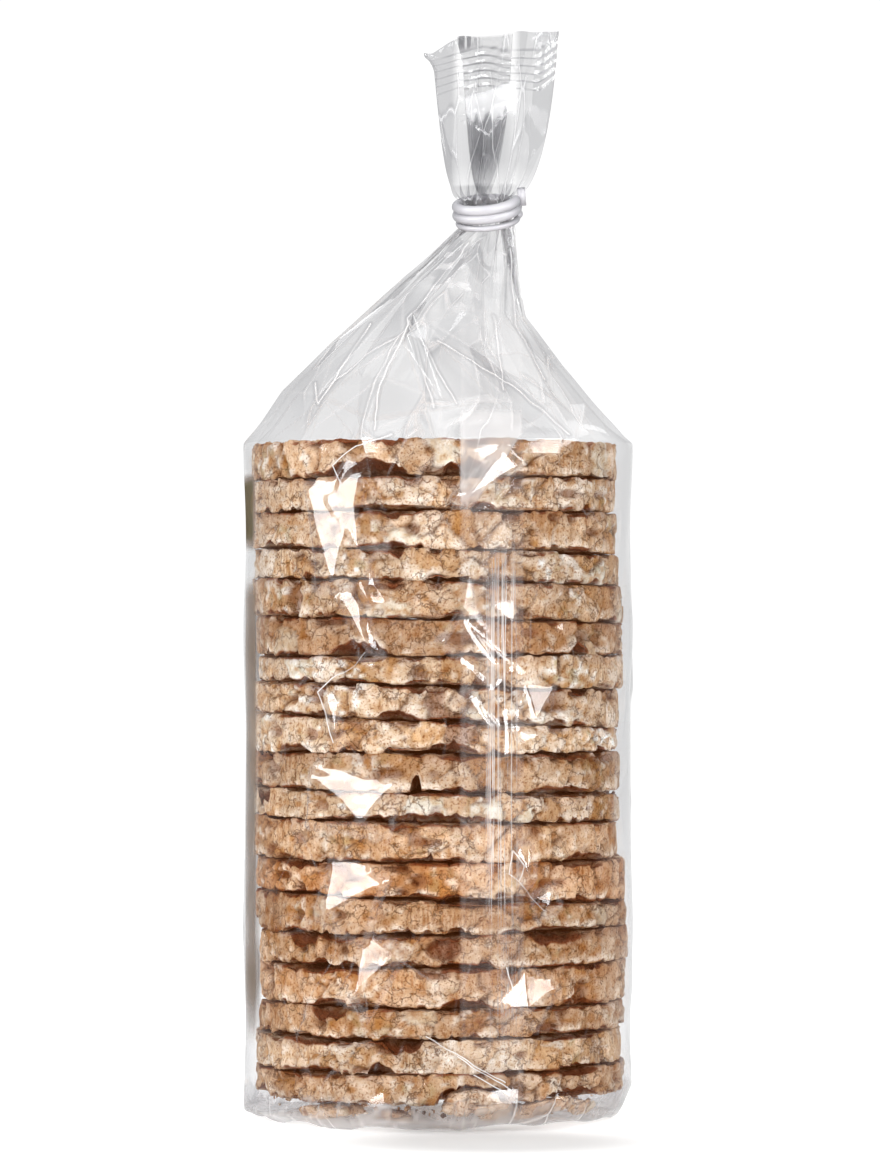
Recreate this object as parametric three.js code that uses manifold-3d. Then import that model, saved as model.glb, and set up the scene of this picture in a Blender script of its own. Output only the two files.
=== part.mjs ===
// A stack of round puffed buckwheat cakes in a clear film bag. The bag stands on its folded base, is
// gathered to one side above the stack, is held by a wound tie, and ends in a pleated, crimped tail.
// Millimetres, +Z up. The origin is the middle of the base, on the surface that the bag stands on.
// The front, with the lengthwise seam, faces -Y.
import * as THREE from "three";
import Module from "manifold-3d";
import { mergeVertices } from "three/addons/utils/BufferGeometryUtils.js";

const wasm = await Module();
wasm.setup();

const { degToRad, lerp, smoothstep } = THREE.MathUtils;

// Driving dimensions: the cakes
const CAKE_DIAMETER = 92;
const CAKE_PITCH = 8.52; // one cake's thickness as it sits in the stack
const CAKE_COUNT = 19; // whole cakes
const CRUMB_LAYER = 6.6; // broken pieces and folded film under the lowest whole cake

// Driving dimensions: the bag's wall and base
const SIDE_EASE = 2.5; // room between cake and film at the sides, where the flat tube was creased
const FRONT_EASE = 0.9; // the same at front and back, where the film is pulled tight
const FOOT_INSET = 4; // how far the base's flat edge lies inside the wall
const CORNER_HEIGHT = 5; // average height of the rounded bottom corner
const CORNER_LIFT = 3; // the corner is this much higher on the right, and lower on the left
const SEAM_WIDTH = 14.4; // the lengthwise seam's folded strip
const SEAM_MIDDLE_X = 13.2;
const SEAM_RAISE = 0.6;

// Driving dimensions: the shoulders, which run from the stack's rim over a corner to the neck
const SHOULDER_REACH = 30; // the corner's average distance from the stack's axis
const SHOULDER_REACH_SWING = 9.5; // the tight left corner is this much further out, the right one in
const SHOULDER_HEIGHT = 192;
const SHOULDER_HEIGHT_SWING = 8; // the right corner is this much higher, and the left one lower
const SHOULDER_TIGHTNESS = 4.5; // how closely the film follows the corner
const PLEATS = 15;
const PLEAT_DEPTH = 2.4;

// Driving dimensions: the neck and the tie
const NECK = new THREE.Vector3(12.4, 1, 226.4);
const NECK_RADIUS = 6.3;
const NECK_LEAN = degToRad(20); // forwards
const NECK_ROLL = degToRad(4.5); // to the left
const TIE_WIRE = 1.85; // diameter of the coated wire
const TIE_PITCH = 1.95;
const TIE_TURNS = 2.84;
const TIE_GAP = 0.3;
const TIE_END = { across: 1.7, deep: 2.2, tall: 4 }; // the folded-back end, on the right

// Driving dimensions: the tail above the tie
const TAIL_TOP = new THREE.Vector3(14.2, -9, 270.4);
const TAIL_STRAIGHT = 16; // how far the tail keeps to the neck's direction
const TAIL_HALF_WIDTH = 17;
const TAIL_PANELS = 4; // the flat seal is folded to and fro into this many panels
const TAIL_DEPTH = 12;
const TAIL_FILM = 1.5; // thickness of one panel, two layers of film and the air between them
const TAIL_BOW = 1.8; // the sides are bent back by this much
const SEAL_SHARE = 0.26; // the crimped band's share of the tail's height
const SEAL_RIBS = 5;
const SEAL_RIB_RAISE = 0.35;
const TOP_RIPPLE = 1.2;
const TOP_RIPPLE_LENGTH = 19;

// How finely the surfaces are cut
const AROUND = 88;
const BODY_STEPS = 6;
const SHOULDER_STEPS = 18;
const TAIL_STEPS = 8;
const PANEL_STEPS = 3;
const TIE_STEPS_PER_TURN = 22;
const TIE_SIDES = 8;

// Worked-out dimensions
const HALF_X = CAKE_DIAMETER / 2 + SIDE_EASE;
const HALF_Y = CAKE_DIAMETER / 2 + FRONT_EASE;
const STACK_TOP = CRUMB_LAYER + CAKE_COUNT * CAKE_PITCH;
const NECK_HALF = ((TIE_TURNS - 1) * TIE_PITCH) / 2 + TIE_WIRE + TIE_GAP;
const COIL_RADIUS = NECK_RADIUS + TIE_GAP + TIE_WIRE / 2;

// The neck's own axes: across, towards the back, and up along it.
const NECK_TURN = new THREE.Matrix4()
  .makeRotationX(NECK_LEAN)
  .premultiply(new THREE.Matrix4().makeRotationY(-NECK_ROLL));
const ACROSS = new THREE.Vector3(1, 0, 0).transformDirection(NECK_TURN);
const BACKWARDS = new THREE.Vector3(0, 1, 0).transformDirection(NECK_TURN);
const ALONG = new THREE.Vector3(0, 0, 1).transformDirection(NECK_TURN);

// The point `x` across, `y` back and `z` up from the neck's middle, in the neck's own axes.
function fromNeck(x, y, z) {
  return NECK.clone().addScaledVector(ACROSS, x).addScaledVector(BACKWARDS, y).addScaledVector(ALONG, z);
}

// A closed body through rings with the same number of points, each anticlockwise as seen from the
// last ring's side. `fill` makes the triangles of an end ring as triples of places in the ring.
function loft(rings, fill) {
  const count = rings[0].length;
  const index = [];
  for (let ring = 0; ring + 1 < rings.length; ring++) {
    for (let i = 0; i < count; i++) {
      const low = ring * count;
      const next = (i + 1) % count;
      index.push(low + i, low + next, low + count + next);
      index.push(low + i, low + count + next, low + count + i);
    }
  }
  const last = (rings.length - 1) * count;
  for (const [a, b, c] of fill(rings[0])) index.push(a, c, b);
  for (const [a, b, c] of fill(rings.at(-1))) index.push(last + a, last + b, last + c);
  const geometry = new THREE.BufferGeometry().setFromPoints(rings.flat());
  geometry.setIndex(index);
  return geometry;
}

// Fills a level ring of any outline.
function fillOutline(ring) {
  const flat = ring.map((p) => new THREE.Vector2(p.x, p.y));
  return THREE.ShapeUtils.triangulateShape(flat, []);
}

// Fills a ring that bulges out everywhere.
function fillFan(ring) {
  return ring.slice(2).map((_, i) => [0, i + 1, i + 2]);
}

function solidOf(geometry) {
  const bare = geometry.clone();
  bare.deleteAttribute("normal");
  bare.deleteAttribute("uv");
  const merged = mergeVertices(bare, 1e-4);
  const vertProperties = merged.attributes.position.array;
  const triVerts = new Uint32Array(merged.index.array);
  return new wasm.Manifold(new wasm.Mesh({ numProp: 3, vertProperties, triVerts }));
}

function geometryOf(solid) {
  const mesh = solid.getMesh();
  const geometry = new THREE.BufferGeometry();
  geometry.setAttribute("position", new THREE.BufferAttribute(mesh.vertProperties, 3));
  geometry.setIndex(new THREE.BufferAttribute(mesh.triVerts, 1));
  return geometry;
}

// The directions round the bag at which a ring has points: even, with a pair at each seam edge.
function directions() {
  const angles = Array.from({ length: AROUND }, (_, i) => (i / AROUND) * 2 * Math.PI);
  const edgeStep = 0.008;
  for (const side of [-1, 1]) {
    const x = SEAM_MIDDLE_X + (side * SEAM_WIDTH) / 2;
    const edge = 2 * Math.PI - Math.acos(x / HALF_X);
    angles.push(edge - edgeStep, edge + edgeStep);
  }
  return angles.sort((a, b) => a - b);
}

const DIRECTIONS = directions();

function seamRaise(angle) {
  const x = HALF_X * Math.cos(angle);
  const onSeam = Math.sin(angle) < 0 && Math.abs(x - SEAM_MIDDLE_X) < SEAM_WIDTH / 2;
  return onSeam ? SEAM_RAISE : 0;
}

function wallPoint(angle, inset, height) {
  const out = seamRaise(angle) - inset;
  return new THREE.Vector3((HALF_X + out) * Math.cos(angle), (HALF_Y + out) * Math.sin(angle), height);
}

// The base, its rounded corner, and the wall up to just under the stack's rim.
function wallRings() {
  const corner = (angle) => CORNER_HEIGHT + CORNER_LIFT * Math.cos(angle);
  const rings = [
    DIRECTIONS.map((angle) => wallPoint(angle, FOOT_INSET, 0)),
    DIRECTIONS.map((angle) => wallPoint(angle, 0.3 * FOOT_INSET, 0.3 * corner(angle))),
  ];
  for (let step = 0; step < BODY_STEPS; step++) {
    const share = step / BODY_STEPS;
    rings.push(DIRECTIONS.map((angle) => wallPoint(angle, 0, lerp(corner(angle), STACK_TOP, share))));
  }
  return rings;
}

// A sharp-edged wave from -1 to 1, whose pleats are uneven in width.
function pleatWave(angle) {
  const uneven = 0.4 * Math.sin(2 * angle + 0.6) + 0.22 * Math.sin(5 * angle + 2.1);
  const turn = (PLEATS * angle) / (2 * Math.PI) + uneven;
  return 1 - 4 * Math.abs(turn - Math.floor(turn) - 0.5);
}

// One level of the shoulders, at share t of the way from the stack's rim to the neck. Each direction
// follows a conic curve that hugs the corner.
function shoulderPoint(angle, t) {
  const rim = wallPoint(angle, 0, STACK_TOP);
  const reach = SHOULDER_REACH - SHOULDER_REACH_SWING * Math.cos(angle);
  const height = SHOULDER_HEIGHT + SHOULDER_HEIGHT_SWING * Math.cos(angle);
  const corner = new THREE.Vector3(reach * Math.cos(angle), reach * Math.sin(angle), height);
  const neck = fromNeck(NECK_RADIUS * Math.cos(angle), NECK_RADIUS * Math.sin(angle), -NECK_HALF);
  const weights = [(1 - t) ** 2, 2 * SHOULDER_TIGHTNESS * t * (1 - t), t ** 2];
  const total = weights[0] + weights[1] + weights[2];
  const point = rim
    .multiplyScalar(weights[0] / total)
    .addScaledVector(corner, weights[1] / total)
    .addScaledVector(neck, weights[2] / total);
  const out = PLEAT_DEPTH * Math.sin(Math.PI * t) ** 0.7 * pleatWave(angle);
  return point.add(new THREE.Vector3(out * Math.cos(angle), out * Math.sin(angle), 0));
}

function bagBody() {
  const rings = wallRings();
  for (let step = 0; step <= SHOULDER_STEPS; step++) {
    rings.push(DIRECTIONS.map((angle) => shoulderPoint(angle, step / SHOULDER_STEPS)));
  }
  rings.push(
    DIRECTIONS.map((angle) => fromNeck(NECK_RADIUS * Math.cos(angle), NECK_RADIUS * Math.sin(angle), NECK_HALF)),
  );
  return solidOf(loft(rings, fillOutline));
}

// The tail's cross-section in the flat: a ribbon of film folded to and fro, bundled up inside the
// neck at share 0 and spread out at share 1, the top edge.
function ribbonOutline(share, thickness) {
  const half = thickness / 2;
  const spread = share ** 0.8;
  const pitch = lerp(1.5 * NECK_RADIUS, TAIL_DEPTH, share) / TAIL_PANELS;
  const fold = (i) => {
    const y = (i - TAIL_PANELS / 2) * pitch;
    const bundled = Math.sqrt((0.93 * NECK_RADIUS) ** 2 - Math.min(Math.abs(y), 0.9 * NECK_RADIUS) ** 2);
    const side = i % 2 === 0 ? -1 : 1;
    return { x: side * lerp(bundled, TAIL_HALF_WIDTH, spread), y, side };
  };
  const shifted = ({ x, y }, shift) => new THREE.Vector2(x, y + shift);
  const front = [shifted(fold(0), -half)];
  const back = [shifted(fold(0), half)];
  for (let i = 1; i < TAIL_PANELS; i++) {
    const here = fold(i);
    const inset = Math.min(0.7 * Math.abs(here.x), (half * 2 * Math.abs(here.x)) / pitch);
    const outer = here.side > 0 ? front : back;
    const inner = here.side > 0 ? back : front;
    outer.push(shifted(here, -half), shifted(here, half));
    inner.push(new THREE.Vector2(here.x - here.side * inset, here.y));
  }
  const end = fold(TAIL_PANELS);
  front.push(shifted(end, -half * end.side));
  back.push(shifted(end, half * end.side));
  return [...front, ...back.reverse()];
}

// The same outline with its long stretches divided, bowed, and set in the tail.
function tailRing(share, thickness) {
  const start = fromNeck(0, 0, NECK_HALF);
  const handle = fromNeck(0, 0, NECK_HALF + TAIL_STRAIGHT);
  const middle = new THREE.QuadraticBezierCurve3(start, handle, TAIL_TOP).getPoint(share);
  const turn = new THREE.Matrix4()
    .makeRotationX(NECK_LEAN * (1 - share))
    .premultiply(new THREE.Matrix4().makeRotationY(-NECK_ROLL));
  const outline = ribbonOutline(share, thickness);
  const ring = [];
  outline.forEach((from, i) => {
    const to = outline[(i + 1) % outline.length];
    const steps = from.distanceTo(to) > 2 * TAIL_FILM ? PANEL_STEPS : 1;
    for (let k = 0; k < steps; k++) {
      const at = from.clone().lerp(to, k / steps);
      const bow = TAIL_BOW * share * (at.x / TAIL_HALF_WIDTH) ** 2;
      const ripple = TOP_RIPPLE * share ** 4 * Math.sin((2 * Math.PI * at.x) / TOP_RIPPLE_LENGTH);
      ring.push(new THREE.Vector3(at.x, at.y + bow, ripple).applyMatrix4(turn).add(middle));
    }
  });
  return ring;
}

function tail() {
  const bundle = tailRing(0, TAIL_FILM);
  const rings = [bundle.map((p) => p.clone().addScaledVector(ALONG, -NECK_HALF)), bundle];
  for (let step = 1; step < TAIL_STEPS; step++) {
    rings.push(tailRing(((1 - SEAL_SHARE) * step) / TAIL_STEPS, TAIL_FILM));
  }
  for (let step = 0; step <= 2 * SEAL_RIBS; step++) {
    const raise = step % 2 === 1 ? SEAL_RIB_RAISE : 0;
    const share = lerp(1 - SEAL_SHARE, 1, step / (2 * SEAL_RIBS));
    rings.push(tailRing(share, 0.8 * TAIL_FILM + raise));
  }
  return solidOf(loft(rings, fillOutline));
}

// The coated wire, wound down round the neck from its folded-back end on the right.
function tie() {
  const steps = Math.round(TIE_TURNS * TIE_STEPS_PER_TURN);
  const top = ((TIE_TURNS - 1) * TIE_PITCH) / 2 + TIE_WIRE / 2;
  const drop = (2 * top) / TIE_TURNS;
  const rings = [];
  for (let step = 0; step <= steps; step++) {
    const turn = (TIE_TURNS * step) / steps;
    const angle = turn * 2 * Math.PI;
    const ring = [];
    for (let k = 0; k < TIE_SIDES; k++) {
      const side = (-2 * Math.PI * k) / TIE_SIDES;
      const radius = COIL_RADIUS + (TIE_WIRE / 2) * Math.cos(side);
      const height = top - turn * drop + (TIE_WIRE / 2) * Math.sin(side);
      ring.push(fromNeck(radius * Math.cos(angle), radius * Math.sin(angle), height));
    }
    rings.push(ring);
  }
  const end = new THREE.BoxGeometry(TIE_END.across, TIE_END.deep, TIE_END.tall);
  end.applyMatrix4(NECK_TURN);
  const at = fromNeck(COIL_RADIUS + TIE_WIRE / 2 + 0.2, 0, top - TIE_END.tall / 4);
  end.translate(at.x, at.y, at.z);
  return geometryOf(solidOf(loft(rings, fillFan)).add(solidOf(end)));
}

function named(name, geometry, material) {
  geometry.computeVertexNormals();
  const mesh = new THREE.Mesh(geometry, material);
  mesh.name = name;
  return mesh;
}

const film = new THREE.MeshStandardMaterial({ color: 0xd9c3a6, roughness: 0.15, metalness: 0 });
const coating = new THREE.MeshStandardMaterial({ color: 0xe8e6ec, roughness: 0.35, metalness: 0 });

const pack = new THREE.Group();
pack.add(named("bag", geometryOf(bagBody().add(tail())), film));
pack.add(named("tie", tie(), coating));

export default pack;
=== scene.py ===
"""A clear film bag of stacked puffed buckwheat cakes, tied at the neck.

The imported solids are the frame: the bag's solid is replaced by its film and what is in it. All
lengths are in metres, with MM for those that are easier to read in millimetres. The front is -Y.
"""
import math

import bpy
import numpy as np
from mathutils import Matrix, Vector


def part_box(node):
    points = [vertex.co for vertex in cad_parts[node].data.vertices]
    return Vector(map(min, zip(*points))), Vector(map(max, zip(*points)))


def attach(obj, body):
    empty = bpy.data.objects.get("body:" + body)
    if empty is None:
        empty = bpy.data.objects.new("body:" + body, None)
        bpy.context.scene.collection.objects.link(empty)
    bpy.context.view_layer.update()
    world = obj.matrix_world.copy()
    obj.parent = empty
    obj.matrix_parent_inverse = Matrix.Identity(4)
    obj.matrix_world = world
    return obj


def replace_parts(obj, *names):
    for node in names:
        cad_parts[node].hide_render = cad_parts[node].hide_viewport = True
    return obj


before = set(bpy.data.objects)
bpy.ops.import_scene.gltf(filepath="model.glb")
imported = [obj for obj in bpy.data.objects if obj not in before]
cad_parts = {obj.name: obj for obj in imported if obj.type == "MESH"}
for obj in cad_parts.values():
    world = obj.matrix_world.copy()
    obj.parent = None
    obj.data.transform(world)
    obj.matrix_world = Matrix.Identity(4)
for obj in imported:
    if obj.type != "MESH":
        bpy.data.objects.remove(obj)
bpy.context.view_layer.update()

MM = 0.001
ROOT = "root"
FULL_TURN = 2 * math.pi
BAG_LOW, BAG_HIGH = (np.array(corner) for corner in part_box("bag"))
WALL_HALF_X = (BAG_HIGH[0] - BAG_LOW[0]) / 2
WALL_HALF_Y = BAG_HIGH[1]

# The stack
SIDE_EASE = 2.5 * MM
CAKE_RADIUS = WALL_HALF_X - SIDE_EASE
STACK_LOW = 6.6 * MM
# Each whole cake from the top down: thickness in mm, tilt of its underside in degrees, how far it
# sits to the right in mm, how light it is, and how pale it is against golden.
CAKES = (
    (9.2, 0.3, -1.0, 0.87, 1.08),
    (8.3, 0.0, -0.9, 0.99, 1.2),
    (9.5, -1.1, -0.7, 0.92, 1.15),
    (7.8, -1.1, -0.3, 1.02, 1.3),
    (9.2, -1.1, 0.1, 0.83, 1.1),
    (9.0, 0.2, 0.9, 0.6, 0.86),
    (7.3, -1.3, 1.0, 1.04, 1.25),
    (8.7, -2.4, -0.5, 1.05, 1.25),
    (7.8, -0.3, -1.0, 1.28, 1.38),
    (9.5, -0.9, -0.6, 0.76, 1.03),
    (7.3, -0.9, -0.3, 0.97, 1.18),
    (9.7, -0.4, 0.0, 0.92, 1.02),
    (9.2, -1.9, 0.9, 0.79, 0.79),
    (8.3, 0.6, 1.1, 0.69, 0.91),
    (8.2, 0.4, 1.5, 0.76, 0.92),
    (9.9, 0.0, 1.5, 0.87, 0.93),
    (7.3, 0.9, 1.4, 0.72, 0.91),
    (8.5, 0.6, 0.5, 1.09, 1.27),
    (7.5, 0.3, 0.9, 0.86, 1.0),
)
STACK_HIGH = STACK_LOW + sum(row[0] for row in CAKES) * MM
CAKE_GAP = 0.15 * MM
CAKE_STRETCH = 1.006
CAKE_COLUMNS = 384
CAKE_SEED = 40


# ---------------------------------------------------------------- helpers


def hash01(cells, seed):
    """A fixed pseudo-random number from 0 to 1 for each row of whole numbers."""
    cells = cells.astype(np.int64).astype(np.uint64)
    mixed = np.full(cells.shape[:-1], np.uint64(seed * 2654435761 + 12345), dtype=np.uint64)
    for axis in range(cells.shape[-1]):
        mixed = (mixed ^ cells[..., axis]) * np.uint64(0x9E3779B97F4A7C15)
        mixed ^= mixed >> np.uint64(29)
        mixed *= np.uint64(0xBF58476D1CE4E5B9)
        mixed ^= mixed >> np.uint64(32)
    return (mixed >> np.uint64(11)).astype(np.float64) / float(1 << 53)


def value_noise(points, size, seed):
    """Smooth noise from -1 to 1 whose lumps are about `size` across."""
    scaled = points / size
    low = np.floor(scaled)
    share = scaled - low
    share = share * share * (3 - 2 * share)
    total = np.zeros(points.shape[:-1])
    for corner in np.ndindex(*(2,) * points.shape[-1]):
        weight = np.ones(points.shape[:-1])
        for axis, high in enumerate(corner):
            weight = weight * (share[..., axis] if high else 1 - share[..., axis])
        total += weight * hash01(low + np.array(corner), seed)
    return 2 * total - 1


def noise_axes(points, size, seed):
    """Three noises side by side, to push points about with."""
    return np.stack([value_noise(points, size, seed + k) for k in range(3)], axis=1)


def smoothstep(low, high, value):
    share = np.clip((value - low) / (high - low), 0, 1)
    return share * share * (3 - 2 * share)


def bell(value):
    """1 at zero, falling off smoothly on both sides."""
    return np.exp(-(value**2))


def circle(angles):
    """Points on a circle of radius 1."""
    return np.stack([np.cos(angles), np.sin(angles)], axis=-1)


def around_axis(angles, reach, heights):
    """Points at these angles round the upright axis, this far from it and this high."""
    points = np.broadcast_arrays(reach * np.cos(angles), reach * np.sin(angles), heights)
    return np.stack(points, axis=-1)


def evenly_around(count):
    return np.arange(count) / count * FULL_TURN


def rolled(angle):
    """Turns points, written as rows, about the axis that runs from front to back."""
    c, s = math.cos(angle), math.sin(angle)
    return np.array([[c, 0, s], [0, 1, 0], [-s, 0, c]])


def band(value, *edges):
    """1 between the two inner ones of four edges (mm), and 0 beyond the outer ones."""
    first, second, third, fourth = (edge * MM for edge in edges)
    return smoothstep(first, second, value) * smoothstep(fourth, third, value)


def toward(colour, target, share):
    """Colours that go towards another by a share of their own each."""
    return colour + (target - colour) * share[:, None]


def new_object(name, data):
    thing = bpy.data.objects.new(name, data)
    bpy.context.scene.collection.objects.link(thing)
    return thing


def new_piece(name, vertices, faces, material, slot):
    mesh = bpy.data.meshes.new(name)
    vertices = np.asarray(vertices, dtype=np.float32)
    faces = np.asarray(faces, dtype=np.int32)
    mesh.vertices.add(len(vertices))
    mesh.vertices.foreach_set("co", vertices.ravel())
    mesh.loops.add(faces.size)
    mesh.loops.foreach_set("vertex_index", faces.ravel())
    mesh.polygons.add(len(faces))
    mesh.polygons.foreach_set("loop_start", np.arange(0, faces.size, faces.shape[1], dtype=np.int32))
    mesh.update(calc_edges=True)
    mesh.validate()
    mesh.polygons.foreach_set("use_smooth", np.full(len(mesh.polygons), True))
    mesh.materials.append(material)
    piece = new_object(name, mesh)
    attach(piece, ROOT)
    return piece


def paint(piece, name, *channels):
    """Stores up to three numbers for each vertex, which a material reads as a colour."""
    values = np.stack(channels, axis=-1) if len(channels) > 1 else channels[0]
    values = values.reshape(-1, values.shape[-1])
    layer = piece.data.color_attributes.new(name, "FLOAT_COLOR", "POINT")
    rgba = np.ones((len(values), 4), dtype=np.float32)
    rgba[:, : values.shape[1]] = values
    layer.data.foreach_set("color", rgba.ravel())


def linear(*srgb):
    """A linear colour from sRGB numbers from 0 to 255."""
    return np.array([((c / 255 + 0.055) / 1.055) ** 2.4 if c > 10 else c / 255 / 12.92 for c in srgb])


def ring_grid(rows, columns):
    """The four-sided faces of a grid that closes on itself along its columns."""
    first = (np.arange(rows - 1)[:, None] * columns + np.arange(columns)[None, :]).ravel()
    start = first % columns
    along = first - start + (start + 1) % columns
    return np.stack([first, along, along + columns, first + columns], axis=1)


# ---------------------------------------------------------------- shader helpers


class Term:
    """One output of a node. A sum or a product of terms adds the nodes that work it out."""

    def __init__(self, nodes, socket):
        self.nodes = nodes
        self.socket = socket

    def __add__(self, other):
        return self.nodes.math("ADD", self, other)

    def __sub__(self, other):
        return self.nodes.math("SUBTRACT", self, other)

    def __rsub__(self, other):
        return self.nodes.math("SUBTRACT", other, self)

    def __mul__(self, other):
        return self.nodes.math("MULTIPLY", self, other)

    def __pow__(self, power):
        return self.nodes.math("POWER", self, power)


class Nodes:
    """Builds the node tree of a new material or world with short calls, which give Terms."""

    def __init__(self, owner):
        owner.use_nodes = True
        self.owner = owner
        self.tree = owner.node_tree
        self.tree.nodes.clear()

    def connect(self, value, socket):
        if isinstance(value, Term):
            self.tree.links.new(value.socket, socket)
        else:
            socket.default_value = value

    def node(self, kind, inputs, **settings):
        node = self.tree.nodes.new("ShaderNode" + kind)
        for key, value in settings.items():
            setattr(node, key, value)
        for key, value in inputs.items():
            self.connect(value, node.inputs[key])
        return node

    def add(self, kind, inputs, output=0, **settings):
        """A new node's first output, or the one that is named."""
        return Term(self, self.node(kind, inputs, **settings).outputs[output])

    def several(self, kind, inputs, *outputs):
        """A new node's named outputs."""
        node = self.node(kind, inputs)
        return [Term(self, node.outputs[name]) for name in outputs]

    def place(self):
        return self.add("TexCoord", {}, "Object")

    def painted(self, name):
        """The three numbers that the mesh stores for each vertex under one name."""
        return self.channels(self.add("VertexColor", {}, "Color", layer_name=name))

    def channels(self, colour):
        parts = self.node("SeparateColor", {0: colour})
        return [Term(self, socket) for socket in parts.outputs]

    def noise(self, place, scale, detail, roughness=0.5, output="Fac"):
        settings = {"Vector": place, "Scale": scale, "Detail": detail, "Roughness": roughness}
        return self.add("TexNoise", settings, output)

    def vector(self, operation, first, second, output=0):
        return self.add("VectorMath", {0: first, 1: second}, output, operation=operation)

    def scaled(self, vector, factor):
        return self.add("VectorMath", {0: vector, 3: factor}, operation="SCALE")

    def stretched(self, place, *scale):
        return self.add("Mapping", {"Vector": place, "Scale": scale})

    def wavy(self, place, scale, detail, roughness, reach):
        """The same place, pushed about by noise."""
        push = self.scaled(self.noise(place, scale, detail, roughness, "Color"), reach)
        return self.vector("ADD", place, push)

    def ramp(self, factor, *stops):
        """A colour, or a grey for a plain number, between stops of (place, colour)."""
        node = self.node("ValToRGB", {0: factor})
        elements = node.color_ramp.elements
        while len(elements) < len(stops):
            elements.new(0.5)
        for element, (place, colour) in zip(elements, stops):
            element.position = place
            element.color = (*(colour if isinstance(colour, tuple) else (colour,) * 3), 1)
        return Term(self, node.outputs["Color"])

    def math(self, operation, first, second=0.0, clamp=False):
        return self.add("Math", {0: first, 1: second}, operation=operation, use_clamp=clamp)

    def mix(self, factor, first, second, blend="MIX"):
        node = self.node("Mix", {0: factor}, data_type="RGBA", blend_type=blend)
        colours = [socket for socket in node.inputs if socket.type == "RGBA"]
        for socket, value in zip(colours, (first, second)):
            self.connect(value if isinstance(value, Term) else (*value, 1), socket)
        return Term(self, next(socket for socket in node.outputs if socket.type == "RGBA"))

    def bump(self, height, strength, distance):
        return self.add("Bump", {"Strength": strength, "Distance": distance, "Height": height})

    def blend(self, share, first, second):
        return self.add("MixShader", {0: share, 1: first, 2: second})

    def distance_to_line(self, place, start, end):
        """How far each point is from a straight line between two others."""
        along = np.array(end) - np.array(start)
        away = self.vector("SUBTRACT", place, tuple(start))
        share = self.vector("DOT_PRODUCT", away, tuple(along / (along @ along)), "Value")
        nearest = self.scaled(tuple(along), self.math("ADD", share, 0.0, clamp=True))
        return self.vector("DISTANCE", away, nearest, "Value")

    def finish(self, surface, output="OutputMaterial"):
        self.node(output, {"Surface": surface})
        return self.owner


def new_material(name):
    return Nodes(bpy.data.materials.new(name))


# ---------------------------------------------------------------- materials of the cakes and the floor


def cake_material():
    """Puffed buckwheat: porous, fibrous and glassy patches, whose tint comes with the mesh. A faint warm
    glow is painted in as emission, which keeps the shaded gaps brown."""
    n = new_material("puffed_buckwheat")
    place = n.place()
    tint = n.add("VertexColor", {}, "Color", layer_name="tint")
    fibre, glassy, _ = n.painted("kind")
    pores = n.noise(place, 1700.0, 2.0, 0.6)
    mottle = n.noise(place, 360.0, 4.0, 0.65)
    strands = n.noise(n.stretched(place, 1500.0, 1500.0, 240.0), 1.0, 3.0)
    bent = n.wavy(place, 350.0, 3.0, 0.6, 0.0045)
    cells = n.add("TexVoronoi", {"Vector": bent, "Scale": 260.0}, "Distance", feature="DISTANCE_TO_EDGE")
    breaks = n.ramp(n.noise(place, 190.0, 1.0), (0.44, 0), (0.54, 1))
    crack = n.ramp(cells, (0.0, 1), (0.05, 0)) * breaks
    rough_part = n.math("SUBTRACT", 1.0, glassy, clamp=True)

    dots = n.ramp(pores, (0.34, (0.42, 0.23, 0.11)), (0.46, 1))
    darker, lighter = (0.62, 0.37, 0.17), (1.34, 1.38, 1.44)
    patch = n.ramp(mottle, (0.3, darker), (0.42, (0.95, 0.85, 0.72)), (0.53, 1.02), (0.7, lighter))
    lines = n.ramp(strands, (0.32, (0.64, 0.42, 0.25)), (0.5, 1), (0.66, 1.2))
    colour = n.mix(rough_part * 0.8, tint, dots, "MULTIPLY")
    colour = n.mix(0.85, colour, patch, "MULTIPLY")
    colour = n.mix(fibre * 0.7, colour, lines, "MULTIPLY")
    colour = n.mix(crack * 0.8, colour, (0.12, 0.05, 0.02))
    height = pores * rough_part + strands * fibre + mottle * 1.2 - crack * 0.6
    surface = {
        "Base Color": colour,
        "Roughness": 0.85 - glassy * 0.45,
        "Normal": n.bump(height, 0.75, 0.0005),
        "Specular IOR Level": 0.06,
        # A painted warm glow, which lifts the shade in the gaps.
        "Emission Color": (1.0, 0.25, 0.0, 1),
        "Emission Strength": 0.02,
    }
    return n.finish(n.add("BsdfPrincipled", surface))


def floor_material():
    """A white floor that glows a little, less in a painted soft shadow in front of the bag on the right."""
    n = new_material("floor")
    # The painted shadow: the glow fades out towards this place on the floor.
    painted_shadow_offset = n.vector("SUBTRACT", n.place(), (0.014, -0.067, 0.0))
    painted_shadow_offset = n.vector("MULTIPLY", painted_shadow_offset, (21.0, 29.0, 1.0))
    away = n.add("VectorMath", {0: painted_shadow_offset}, "Value", operation="LENGTH")
    reach = {"Value": away, "From Min": 0.35, "From Max": 1.4, "To Min": 0.0, "To Max": 0.68}
    surface = {
        "Base Color": (0.62, 0.62, 0.62, 1),
        "Roughness": 0.9,
        "Emission Color": (1, 1, 1, 1),
        "Emission Strength": n.add("MapRange", reach, interpolation_type="SMOOTHSTEP"),
    }
    return n.finish(n.add("BsdfPrincipled", surface))


# ---------------------------------------------------------------- the cakes

GRAIN_TINTS = (
    # share, colour, fibrous, glassy
    (0.42, linear(216, 183, 151), 0.15, 0.0),
    (0.26, linear(210, 176, 142), 1.0, 0.0),
    (0.14, linear(225, 199, 173), 0.1, 0.0),
    (0.04, linear(225, 208, 185), 0.0, 0.6),
    (0.14, linear(192, 149, 108), 0.5, 0.0),
)
HUSK = linear(96, 52, 24)
AMBER = linear(182, 125, 64)
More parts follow.
